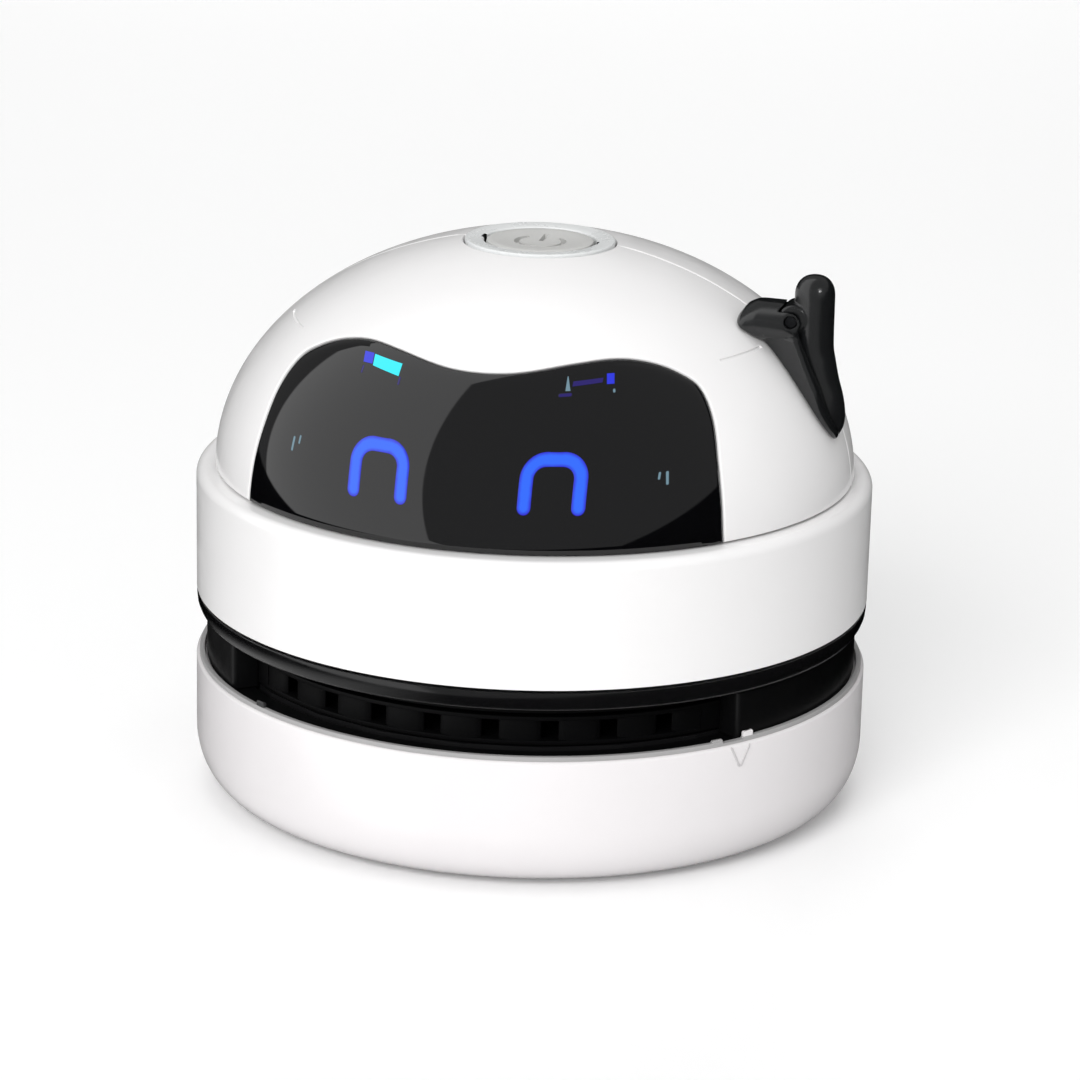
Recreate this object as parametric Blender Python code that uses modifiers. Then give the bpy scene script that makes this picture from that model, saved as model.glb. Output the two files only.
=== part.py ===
"""Desktop mini vacuum cleaner: a domed body with a display visor, a twist-off dust cup and a
sprung antenna clip.

Lengths are in metres and +Z is up. The visor faces -Y, and the origin is the middle of the
footprint on the desk. Azimuths are in degrees from the face, positive towards +X.
"""

import math

import bmesh
import bpy
from mathutils import Matrix, Vector

# Fits
gap = 0.0003
running_gap = 0.00008
overrun = 0.0010
bite = 0.0005
weld_distance = 0.00001

# Facets of round pieces
body_sides = 32
inner_sides = 24
pin_sides = 16
small_sides = 8
arc_steps = 3
end_steps = 4
tube_steps = 2
dome_steps = 6

# Outer form
body_radius = 0.0450
foot_clearance = 0.0008
cup_height = 0.0172
lip_height = 0.0006
recess_height = 0.0061
vent_ring_height = 0.0025
band_height = 0.0165
ledge_width = 0.0025
dome_rise = 0.0314
shoulder_round = 0.0013

# Dust cup
cup_wall = 0.0020
cup_floor = 0.0020
cup_corner_width = 0.0051
cup_corner_height = 0.0074
rim_step = 0.0004
lip_wall = 0.0007
rim_ledge_drop = 0.0004
well_radius = 0.0185
well_depth = 0.0028
inlet_radius = 0.0075
inlet_wall = 0.0015
inlet_rise = 0.0022
rail_reach = 0.0010
rail_width_degrees = 40
lug_height = 0.0015
lug_width_degrees = 16
lock_count = 4
lock_azimuth = 51.5
stop_width_degrees = 3
stop_slack_degrees = 1
tab_width = 0.0016
tab_rise = 0.0010
tab_inset = 0.0001
notch_width = 0.0034
foot_pad_count = 4
foot_pad_radius = 0.0030
foot_pad_height = 0.0011
foot_pad_inset = 0.0120
foot_pad_azimuth = 45

# Brush strips
brush_width = 0.0034
brush_back = 0.0013
brush_inlet_room = 0.0020
brush_end_room = 0.0022
strand_radius = 0.00024
strand_sides = 3
strand_columns = 30
strand_rows = 5
strand_lift = 0.0002

# Chassis
pillar_inset = 0.0014
recess_depth = 0.0036
core_wall = 0.0016
pillar_roof = 0.0018
pillar_gap_degrees = 100
spigot_clearance = 0.0004
spigot_wall = 0.0024
spigot_length = 0.0084
lug_reach = 0.0009
seal_land = 0.0007
seal_groove_height = 0.0016
seal_groove_depth = 0.0012
deck_rise = 0.0029
deck_thickness = 0.0018
vent_ring_inset_top = 0.0004
vent_ring_inset_low = 0.0016
vent_ring_collar = 0.0038

# Exhaust grille, fan cover and filter
grille_wall = 0.0015
grille_slot_width = 0.0022
grille_border = 0.0006
grille_slot_pitch_degrees = 11
grille_slots_per_side = 8
cover_thickness = 0.0018
cover_eye_radius = 0.0095
cover_lip = 0.0007
cover_lip_wall = 0.0012
collar_inset = 0.0097
collar_wall = 0.0012
collar_depth = 0.0030
filter_height = 0.0039
filter_rim = 0.0038
filter_lip = 0.0010
filter_wall = 0.0014
filter_bar_width = 0.0014
filter_bars = 3
pad_thickness = 0.0025

# Fan and motor
fan_clearance = 0.0008
impeller_radius = 0.0210
impeller_plate = 0.0010
hub_wall = 0.0023
hub_below = 0.0040
blade_count = 9
blade_inner_radius = 0.0086
blade_thickness = 0.0008
blade_sweep_degrees = 48
blade_curl_share = 1.3
blade_steps = 3
shaft_radius = 0.0010
shaft_above_cover = 0.0016
motor_radius = 0.0122
motor_length = 0.0260
motor_round = 0.0012
motor_boss_radius = 0.0046
motor_cap_height = 0.0024
motor_cap_inset = 0.0012
terminal_width = 0.0024
terminal_thickness = 0.0004
terminal_rise = 0.0018
terminal_offset = 0.0070
holder_wall = 0.0014
holder_height = 0.0110
holder_flange = 0.0018
holder_ear_offset = 0.0021
holder_ear_radius = 0.0030

# Screws
case_screw_inset = 0.0069
case_screw_azimuths = (62, 118, 242, 298)
case_screw_length = 0.0205
case_screw_radius = 0.0009
case_head_radius = 0.0018
case_head_height = 0.0012
case_post_radius = 0.0026
cover_screw_inset = 0.0066
cover_screw_azimuths = (90, 210, 330)
cover_screw_length = 0.0065
cover_post_radius = 0.0023
small_screw_radius = 0.0007
small_head_radius = 0.0014
small_head_height = 0.0009
small_screw_length = 0.0030
shell_post_height = 0.0080
shell_post_web = 0.0014
shell_post_web_rise = 0.0020

# Band
band_wall = 0.0020
flange_thickness = 0.0018
flange_reach = 0.0051
locating_rib_clearance = 0.0005
locating_rib_wall = 0.0008
locating_rib_rise = 0.0014
band_edge = 0.0003

# Dome shells and button
dome_wall = 0.0022
seam_offset = 0.0004
crown_seat_drop = 0.0006
button_radius = 0.0071
button_recess = 0.0002
button_flange_reach = 0.0007
button_flange_height = 0.0011
button_stem_radius = 0.0016
button_travel = 0.0007
button_notch = 0.0012
button_edge = 0.0004
surround_proud = 0.0003
surround_wall = 0.0008
surround_brim = 0.0010
surround_lip_depth = 0.0022
surround_length = 0.0049
switch_size = 0.0060
switch_height = 0.0020
switch_plunger_radius = 0.0015
switch_plunger_rise = 0.0005
switch_slack = 0.0001
board_thickness = 0.0012
switch_board_drop = 0.0029
switch_board_radius = 0.0125
board_post_offset = 0.0100
board_post_back = 0.0040
board_post_radius = 0.0019

# Visor and display
visor_side_room = 0.0117
visor_crown_room = 0.0099
visor_skirt = 0.0030
visor_wall = 0.0011
visor_ledge = 0.0010
visor_side_shares = ((0.985, 0.23), (0.955, 0.46), (0.915, 0.665), (0.850, 0.820), (0.765, 0.905))
visor_lobe_shares = ((0.650, 0.970), (0.520, 1.000), (0.370, 0.985))
visor_dip_shares = (0.120, 0.935)
visor_steps = 2
eye_offset = 0.0111
eye_half_width = 0.0042
eye_height = 0.0075
eye_rise = 0.0049
eye_stroke = 0.0019
eye_corner = 0.0032
brow_offset = 0.0132
brow_length = 0.0052
brow_height = 0.0018
brow_rise = 0.0192
display_depth = 0.0211
display_half_width = 0.0180
display_crown_room = 0.0114
bracket_half_width = 0.0160
bracket_thickness = 0.0015
bracket_crown_room = 0.0133
bracket_foot = 0.0054
bracket_screw_offset = 0.0120

# Power
cell_radius = 0.0070
cell_motor_room = 0.0009
cell_length = 0.0430
cell_button_radius = 0.0025
cell_button_length = 0.0010
cradle_wall = 0.0015
port_rise = 0.0065
port_width = 0.0089
port_height = 0.0032
port_depth = 0.0073
port_recess = 0.0015
port_shell = 0.0004
port_floor = 0.0015
port_tongue_height = 0.0007
port_tongue_width = 0.0066
charge_board_half_width = 0.0090
charge_board_depth = 0.0085
charge_board_inset = 0.0116
charge_post_width = 0.0024

# Antenna clip: places are shares of its length, counted from its hinge outwards and upwards
antenna_plane = -0.0044
antenna_length = 0.0200
antenna_half_width = 0.0042
hinge_standoff = 0.00446
hinge_elevation = 42
hinge_pin_radius = 0.0007
hinge_knuckle_radius = 0.0017
hinge_clearance_radius = 0.0024
hinge_notch_radius = 0.0012
hinge_notch_depth = 0.0005
hinge_spring_wall = 0.0004
hinge_spring_width = 0.0018
hinge_spring_core = 0.0011
rod_radius = 0.0026
rod_tip_rise = 0.0056
rod_tip_share = 0.12
rod_tip_steps = 4
rod_out_share = 0.1225
lobe_place_shares = ((0.1275, -0.175), (0.150, -0.300), (0.185, -0.420), (0.232, -0.535), (0.260, -0.625),
                     (0.272, -0.695), (0.272, -0.745), (0.268, -0.780))
lobe_radius_shares = (1.00, 0.98, 0.92, 0.82, 0.72, 0.60, 0.42, 0.20)
base_outline_shares = ((-0.405, -0.100), (-0.350, 0.010), (-0.310, 0.062), (-0.250, 0.095), (-0.025, 0.088),
                       (0.040, 0.065), (0.070, 0.005), (0.045, -0.080), (0.130, -0.275), (0.205, -0.425),
                       (0.250, -0.570), (0.300, -0.675), (0.325, -0.725), (0.325, -0.770), (0.295, -0.795),
                       (0.105, -0.795))
leaf_height_shares = (-0.800, -0.765, -0.700, -0.600, -0.460, -0.330, -0.200, -0.080, 0.010, 0.065, 0.105)
leaf_width_shares = (0.20, 0.50, 0.82, 1.08, 1.25, 1.20, 1.08, 1.03, 1.00, 0.80, 0.46)
antenna_edge = 0.0004
antenna_peg_radius = 0.0014
antenna_peg_drop = 0.0025
antenna_peg_reach = 0.0079

# Radii that follow from the sizes above
dome_radius = body_radius - ledge_width
cup_bore = body_radius - cup_wall
pillar_radius = body_radius - pillar_inset
core_radius = pillar_radius - recess_depth
spigot_radius = cup_bore - spigot_clearance
spigot_bore = spigot_radius - spigot_wall
lower_spigot_radius = spigot_radius - lug_reach
foot_pad_circle = body_radius - foot_pad_inset
brush_offset = inlet_radius + brush_inlet_room + brush_width / 2
brush_length = 2 * (math.sqrt(well_radius**2 - (brush_offset + brush_width / 2) ** 2) - brush_end_room)
collar_radius = spigot_bore - collar_inset
cover_screw_circle = spigot_bore - cover_screw_inset
case_screw_circle = dome_radius - case_screw_inset
flange_bore = dome_radius - flange_reach
locating_rib_radius = dome_radius - dome_wall - locating_rib_clearance
hub_radius = shaft_radius + gap + hub_wall
shaft_opening = motor_boss_radius + gap
holder_outer = motor_radius + gap + holder_wall
holder_ear_circle = holder_outer + holder_ear_offset
surround_bore = button_radius + gap
button_flange_radius = button_radius + button_flange_reach
surround_neck = button_flange_radius + gap + surround_wall
surround_radius = surround_neck + surround_brim
crown_bore = surround_neck + gap
crown_seat_radius = surround_radius + gap
visor_half_width = dome_radius - visor_side_room
display_board_setback = dome_radius - display_depth
cell_setback = holder_outer + cell_motor_room + cradle_wall + gap + cell_radius
cell_reach = (cell_length + cell_button_length) / 2
charge_board_front = body_radius - charge_board_inset
hinge_x = (dome_radius + hinge_standoff) * math.cos(math.radians(hinge_elevation))
rod_x = hinge_x + rod_out_share * antenna_length

# Heights that follow from the sizes above
cup_rim = foot_clearance + cup_height
lip_top = cup_rim + lip_height
vent_ring_low = lip_top + recess_height
vent_ring_top = vent_ring_low + vent_ring_height
band_low = vent_ring_top + gap
shoulder = band_low + band_height
crown = shoulder + dome_rise
dome_low = shoulder + gap
cup_ledge = cup_rim - rim_ledge_drop
pillar_low = cup_ledge + gap
pillar_top = vent_ring_low - gap
spigot_low = pillar_low - spigot_length
seal_groove_top = pillar_low - seal_land
seal_groove_low = seal_groove_top - seal_groove_height
lower_spigot_top = seal_groove_low - seal_land
lug_low = spigot_low + gap
lug_top = lug_low + lug_height
deck_top = band_low + deck_rise
deck_low = deck_top - deck_thickness
cover_top = pillar_low + gap
cover_low = cover_top - cover_thickness
well_top = foot_clearance + well_depth
flange_low = shoulder - flange_thickness
motor_low = deck_top + gap
motor_top = motor_low + motor_length
visor_rise = dome_rise - visor_crown_room
port_middle = deck_top + port_rise
hinge_z = shoulder + (dome_rise + hinge_standoff) * math.sin(math.radians(hinge_elevation))


def make_collection(name):
    made = bpy.data.collections.new(name)
    bpy.context.scene.collection.children.link(made)
    return made


def make_surface(name, colour, roughness, metallic=0.0):
    """A plain finish: colour as linear red, green and blue."""
    made = bpy.data.materials.new(name)
    made.use_nodes = True
    shader = made.node_tree.nodes["Principled BSDF"]
    shader.inputs["Base Color"].default_value = (*colour, 1.0)
    shader.inputs["Roughness"].default_value = roughness
    shader.inputs["Metallic"].default_value = metallic
    made.diffuse_color = (*colour, 1.0)
    return made


def place(name, mesh, surface, matrix=None):
    """Links a mesh as a sub-part, or as a cutter where it has no surface."""
    made = bpy.data.objects.new(name, mesh)
    if matrix is not None:
        made.matrix_world = matrix
    if surface is None:
        cutters.objects.link(made)
        made.hide_render = True
        made.display_type = "WIRE"
    else:
        mesh.materials.append(surface)
        parts.objects.link(made)
    return made


def finished_mesh(name, shape):
    mesh = bpy.data.meshes.new(name)
    shape.to_mesh(mesh)
    shape.free()
    return mesh


def hang(owner, *pieces):
    """Parents pieces to what carries them, with their places kept."""
    bpy.context.view_layer.update()
    for piece in pieces:
        piece.parent = owner
        piece.matrix_parent_inverse = owner.matrix_world.inverted()


def axis_mark(name, centre):
    """An empty on the axis of a joint."""
    made = bpy.data.objects.new(name, None)
    parts.objects.link(made)
    made.location = centre
    return made


def block(name, low, high, surface=None):
    """A box between two corners, with its origin in its middle."""
    size = [b - a for a, b in zip(low, high)]
    middle = [(a + b) / 2 for a, b in zip(low, high)]
    shape = bmesh.new()
    bmesh.ops.create_cube(shape, size=1, matrix=Matrix.Diagonal((*size, 1)))
    return place(name, finished_mesh(name, shape), surface, Matrix.Translation(middle))


def smooth_round_side(shape):
    """Shades a cylinder's side smooth and keeps its end faces flat and sharp."""
    for face in shape.faces:
        face.smooth = len(face.verts) == 4
    for edge in shape.edges:
        edge.smooth = all(face.smooth for face in edge.link_faces)


def drum(name, radius, low, high, surface=None, at=(0, 0), sides=small_sides):
    """An upright cylinder."""
    shape = bmesh.new()
    depth = high - low
    bmesh.ops.create_cone(shape, cap_ends=True, segments=sides, radius1=radius, radius2=radius, depth=depth)
    smooth_round_side(shape)
    return place(name, finished_mesh(name, shape), surface, Matrix.Translation((*at, (low + high) / 2)))


def cross_drum(name, radius, start, end, at, surface=None, sides=pin_sides):
    """A cylinder along Y, at an x and z."""
    shape = bmesh.new()
    depth = end - start
    bmesh.ops.create_cone(shape, cap_ends=True, segments=sides, radius1=radius, radius2=radius, depth=depth)
    smooth_round_side(shape)
    middle = Matrix.Translation((at[0], (start + end) / 2, at[1]))
    return place(name, finished_mesh(name, shape), surface, middle @ Matrix.Rotation(math.pi / 2, 4, "X"))


def turned(name, outline, surface=None, sides=body_sides, at=(0, 0), solid=False):
    """A turned piece: the outline of radius and height runs down its outer side.

    A solid piece has an open outline that starts and ends on the axis.
    """
    shape = bmesh.new()
    corners = [shape.verts.new((radius, 0, height)) for radius, height in outline]
    following = corners[1:] if solid else corners[1:] + corners[:1]
    for first, second in zip(corners, following):
        shape.edges.new((first, second))
    made = place(name, finished_mesh(name, shape), surface, Matrix.Translation((*at, 0)))
    turn = made.modifiers.new("turn", "SCREW")
    turn.steps = sides
    turn.render_steps = sides
    turn.use_smooth_shade = True
    turn.use_merge_vertices = True
    turn.merge_threshold = weld_distance
    return made


def mesh_of_curve(name, curve, matrix, surface):
    """Turns a curve into a closed mesh under the same matrix."""
    guide = bpy.data.objects.new(name + "_curve", curve)
    cutters.objects.link(guide)
    guide.matrix_world = matrix
    bpy.context.view_layer.update()
    evaluated = guide.evaluated_get(bpy.context.evaluated_depsgraph_get())
    mesh = bpy.data.meshes.new_from_object(evaluated)
    mesh.name = name
    bpy.data.objects.remove(guide)
    shape = bmesh.new()
    shape.from_mesh(mesh)
    bmesh.ops.remove_doubles(shape, verts=shape.verts, dist=weld_distance)
    bmesh.ops.recalc_face_normals(shape, faces=shape.faces)
    shape.to_mesh(mesh)
    shape.free()
    return place(name, mesh, surface, matrix)


def prism(name, outlines, low, high, surface=None, along="Z"):
    """Flat outlines given thickness along Z (x, y), along Y (x, z) or along X (y, z)."""
    curve = bpy.data.curves.new(name, "CURVE")
    curve.dimensions = "2D"
    curve.fill_mode = "BOTH"
    curve.extrude = (high - low) / 2
    for outline in outlines:
        spline = curve.splines.new("POLY")
        spline.points.add(len(outline) - 1)
        spline.use_cyclic_u = True
        for point, (across, up) in zip(spline.points, outline):
            point.co = (across, up, 0, 1)
    middle = (low + high) / 2
    if along == "Z":
        matrix = Matrix.Translation((0, 0, middle))
    elif along == "Y":
        matrix = Matrix.Translation((0, middle, 0)) @ Matrix.Rotation(math.pi / 2, 4, "X")
    else:
        turn = Matrix(((0, 0, 1, 0), (1, 0, 0, 0), (0, 1, 0, 0), (0, 0, 0, 1)))
        matrix = Matrix.Translation((middle, 0, 0)) @ turn
    return mesh_of_curve(name, curve, matrix, surface)


def tube(name, route, radii, surface=None):
    """A round bar along a route, with its own radius at each point."""
    curve = bpy.data.curves.new(name, "CURVE")
    curve.dimensions = "3D"
    curve.bevel_depth = max(radii)
    curve.bevel_resolution = tube_steps
    curve.use_fill_caps = True
    spline = curve.splines.new("POLY")
    spline.points.add(len(route) - 1)
    for point, centre, radius in zip(spline.points, route, radii):
        point.co = (*centre, 1)
        point.radius = radius / max(radii)
    return mesh_of_curve(name, curve, Matrix.Identity(4), surface)


def combine(target, operation, *tools):
    for tool in tools:
        joint = target.modifiers.new(tool.name, "BOOLEAN")
        joint.operation = operation
        joint.object = tool
        joint.solver = "EXACT"
    return target


def cut(target, *tools):
    return combine(target, "DIFFERENCE", *tools)


def fuse(target, *tools):
    return combine(target, "UNION", *tools)


def keep(target, *tools):
    return combine(target, "INTERSECT", *tools)


def chamfered(target, width):
    """Breaks the sharp edges all round a piece."""
    edge = target.modifiers.new("edge", "BEVEL")
    edge.width = width
    edge.segments = 1
    edge.limit_method = "ANGLE"
    edge.angle_limit = math.radians(60)
    return target


def around(radius, azimuth):
    """The place at a radius and azimuth, seen from above."""
    angle = math.radians(azimuth)
    return radius * math.sin(angle), -radius * math.cos(angle)


def sector(inner, outer, middle, width, steps=arc_steps):
    """The outline of a ring sector of some degrees about an azimuth."""
    azimuths = [middle - width / 2 + width * step / steps for step in range(steps + 1)]
    outside = [around(outer, azimuth) for azimuth in azimuths]
    return outside + [around(inner, azimuth) for azimuth in azimuths[::-1]]


def bar(inner, outer, azimuth, width):
    """The outline of a straight radial bar."""
    along = Vector(around(1, azimuth))
    across = Vector((-along.y, along.x)) * width / 2
    return [along * inner - across, along * outer - across, along * outer + across, along * inner + across]


def quarter(centre, reach, start, end, steps=arc_steps):
    """Points of an elliptic arc about a centre, between two angles in degrees."""
    angles = [math.radians(start + (end - start) * step / steps) for step in range(steps + 1)]
    return [(centre[0] + reach[0] * math.cos(a), centre[1] + reach[1] * math.sin(a)) for a in angles]


def circle(centre, radius, sides):
    """A closed ring of points about a centre."""
    return quarter(centre, (radius, radius), 0, 360, sides)[:-1]


def oval(centre, length, height, growth):
    """A bar with round ends, made larger by a clearance."""
    reach = (height / 2, height / 2)
    half = (length - height) / 2
    right = quarter((centre[0] + half, centre[1]), reach, -90, 90, end_steps)
    left = quarter((centre[0] - half, centre[1]), reach, 90, 270, end_steps)
    return grown(right + left, growth)


def smooth(points, steps):
    """Points of a curve through the given ones, ends kept (Catmull-Rom)."""
    line = [Vector(point) for point in points]
    padded = [2 * line[0] - line[1], *line, 2 * line[-1] - line[-2]]
    path = []
    for a, b, c, d in zip(padded, padded[1:], padded[2:], padded[3:]):
        bend = 2 * a - 5 * b + 4 * c - d
        twist = 3 * b - 3 * c + d - a
        for step in range(steps):
            t = step / steps
            path.append(b + ((c - a) * t + bend * t**2 + twist * t**3) / 2)
    return path + [line[-1]]


def grown(outline, distance):
    """A closed outline moved outwards by a distance."""
    line = [Vector(point) for point in outline]
    turns = sum(a.x * b.y - b.x * a.y for a, b in zip(line, line[1:] + line[:1]))
    side = 1 if turns > 0 else -1
    moved = []
    for before, here, after in zip(line[-1:] + line[:-1], line, line[1:] + line[:1]):
        first = (here - before).normalized()
        second = (after - here).normalized()
        along = (first + second).normalized()
        outward = Vector((along.y, -along.x)) * side
        spread = outward.dot(Vector((first.y, -first.x)) * side)
        moved.append(here + outward * distance / spread)
    return moved


def dome_side(inset, low, high_radius):
    """The dome's elliptic side from near the crown down to a height, moved in by an inset."""
    wide = dome_radius - inset
    tall = dome_rise - inset
    start = math.degrees(math.acos(high_radius / wide))
    end = math.degrees(math.asin((low - shoulder) / tall))
    return quarter((0, shoulder), (wide, tall), start, end, dome_steps)


def dome_height_at(radius, inset=0.0):
    """Height of the dome's surface, or of its inside, at a radius."""
    return shoulder + (dome_rise - inset) * math.sqrt(1 - (radius / (dome_radius - inset)) ** 2)


def dome_solid(name, inset, low):
    """The dome as a full body, for trimming what meets its surface."""
    return turned(name, [(0, crown - inset), *dome_side(inset, low, crown_bore), (0, low)], solid=True)


def dome_layer(name, outer_inset, inner_inset, low, surface=None):
    """A curved layer between two insets from the dome's surface."""
    outer = dome_side(outer_inset, low, crown_seat_radius)
    inner = dome_side(inner_inset, low, crown_seat_radius)
    return turned(name, outer + inner[::-1], surface)


def visor_outline(growth):
    """The two-lobed visor seen from the front, made larger by a clearance."""
    foot = dome_low - visor_skirt

    def at(shares, side=1):
        return side * shares[0] * visor_half_width, dome_low + shares[1] * visor_rise

    right = [at(shares) for shares in visor_side_shares + visor_lobe_shares]
    left = [at(shares, -1) for shares in visor_side_shares + visor_lobe_shares]
    top = smooth([at((1, 0)), *right, at(visor_dip_shares), *left[::-1], at((1, 0), -1)], visor_steps)
    return grown([(visor_half_width, foot), *top, (-visor_half_width, foot)], growth)


def eye_outline(side, growth):
    """The arch of an eye seen from the front, made larger by a clearance."""
    low = dome_low + eye_rise
    high = low + eye_height
    inner_corner = eye_corner - eye_stroke / 2
    outside = []
    inside = []
    for way, start, end in ((1, 0, 90), (-1, 90, 180)):
        centre = (way * (eye_half_width - eye_corner), high - eye_corner)
        outside += quarter(centre, (eye_corner, eye_corner), start, end)
        centre = (way * (eye_half_width - eye_stroke - inner_corner), high - eye_stroke - inner_corner)
        inside += quarter(centre, (inner_corner, inner_corner), start, end)
    leg = eye_half_width - eye_stroke / 2
    foot = (eye_stroke / 2, eye_stroke / 2)
    right_foot = quarter((leg, low + eye_stroke / 2), foot, -180, 0)
    left_foot = quarter((-leg, low + eye_stroke / 2), foot, -180, 0)
    outline = [*right_foot, *outside, *left_foot, *inside[::-1]]
    return grown([(side * eye_offset + x, z) for x, z in outline], growth)


def brow_outline(side, growth):
    """The short bar of light above an eye."""
    return oval((side * brow_offset, dome_low + brow_rise), brow_length, brow_height, growth)


def screw(name, at, seat, length, radius, head_radius, head_height, way=-1):
    """A flat-headed screw that runs up or down from the seat of its head."""
    outline = [(0, seat - way * head_height), (head_radius, seat - way * head_height), (head_radius, seat)]
    outline += [(radius, seat), (radius, seat + way * length), (0, seat + way * length)]
    return turned(name, outline[::-way], steel, small_sides, at, solid=True)


def small_screw(name, at, seat, length=small_screw_length, way=-1):
    return screw(name, at, seat, length, small_screw_radius, small_head_radius, small_head_height, way)


def small_hole(name, at, low, high):
    """A cutter for a small screw's clearance hole."""
    return drum(name, small_screw_radius + gap, low, high, at=at)


def build_dust_cup():
    rim_outer = body_radius - rim_step
    lip_bore = rim_outer - lip_wall
    floor_top = foot_clearance + cup_floor
    corner_centre = (body_radius - cup_corner_width, foot_clearance + cup_corner_height)
    corner = (cup_corner_width, cup_corner_height)
    inner_centre = (cup_bore - cup_corner_width, floor_top + cup_corner_height)
    well_roof = well_top + cup_floor
    outline = [(rim_outer, lip_top), (rim_outer, cup_rim), (body_radius, cup_rim - rim_step)]
    outline += quarter(corner_centre, corner, 0, -90)
    outline += [(well_radius, foot_clearance), (well_radius, well_top), (inlet_radius, well_top)]
    outline += [(inlet_radius, well_roof + inlet_rise), (inlet_radius + inlet_wall, well_roof + inlet_rise)]
    outline += [(inlet_radius + inlet_wall, well_roof), (well_radius + cup_floor, well_roof)]
    outline += [(well_radius + cup_floor, floor_top)]
    outline += quarter(inner_centre, corner, -90, 0)
    outline += [(cup_bore, cup_ledge), (lip_bore, cup_ledge), (lip_bore, lip_top)]
    cup = turned("dust_cup", outline, white_plastic)
    rail_low = lug_top + gap
    rail_top = lower_spigot_top - gap
    rail_bore = cup_bore - rail_reach
    rails = [sector(rail_bore, cup_bore + bite, azimuth, rail_width_degrees) for azimuth in lock_azimuths]
    fuse(cup, prism("cup_rails", rails, rail_low, rail_top))
    stop_turn = lug_width_degrees / 2 + stop_slack_degrees + stop_width_degrees / 2
    stop_azimuths = [azimuth + stop_turn for azimuth in lock_azimuths]
    stops = [sector(rail_bore, cup_bore + bite, azimuth, stop_width_degrees) for azimuth in stop_azimuths]
    fuse(cup, prism("cup_stops", stops, spigot_low, rail_low + bite))
    notch_turn = math.degrees((tab_width + notch_width) / 2 / body_radius)
    notch_end = rim_outer + rim_step / 2
    notch_azimuths = [azimuth - notch_turn for azimuth in lock_azimuths]
    notches = [bar(lip_bore - overrun, notch_end, azimuth, notch_width) for azimuth in notch_azimuths]
    cut(cup, prism("lip_notches", notches, cup_rim, lip_top + overrun))
    tab_turn = math.degrees(tab_width / body_radius)
    tab_out = rim_outer - tab_inset
    tabs = [sector(lip_bore + tab_inset, tab_out, azimuth, tab_turn, 1) for azimuth in lock_azimuths]
    fuse(cup, prism("lock_tabs", tabs, cup_rim + lip_height / 2, lip_top + tab_rise))
    pocket_low = foot_clearance - overrun
    pocket_roof = foot_pad_height + gap
    for number in range(1, foot_pad_count + 1):
        spot = around(foot_pad_circle, foot_pad_azimuth + 360 * number / foot_pad_count)
        cut(cup, drum(f"pad_pocket_{number}", foot_pad_radius + gap, pocket_low, pocket_roof, at=spot))
        hang(cup, drum(f"foot_pad_{number}", foot_pad_radius, 0, foot_pad_height, soft_rubber, spot))
    return cup


def build_brushes(cup):
    """Two strips of bristles beside the inlet, each fused to its backing."""
    back_top = well_top - gap
    back_low = back_top - brush_back
    for name, side in (("brush_front", -1), ("brush_rear", 1)):
        middle = side * brush_offset
        low = (-brush_length / 2, middle - brush_width / 2, back_low)
        high = (brush_length / 2, middle + brush_width / 2, back_top)
        strip = block(name, low, high, bristle_nylon)
        strands = []
        for column in range(strand_columns):
            for row in range(strand_rows):
                x = brush_length * ((column + 1 / 4 + (row % 2) / 2) / strand_columns - 1 / 2)
                y = middle + brush_width * ((row + 1 / 2) / strand_rows - 1 / 2)
                strands.append(circle((x, y), strand_radius, strand_sides))
        fuse(strip, prism(name + "_strands", strands, strand_lift, back_low + bite))
        hang(cup, strip)


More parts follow.
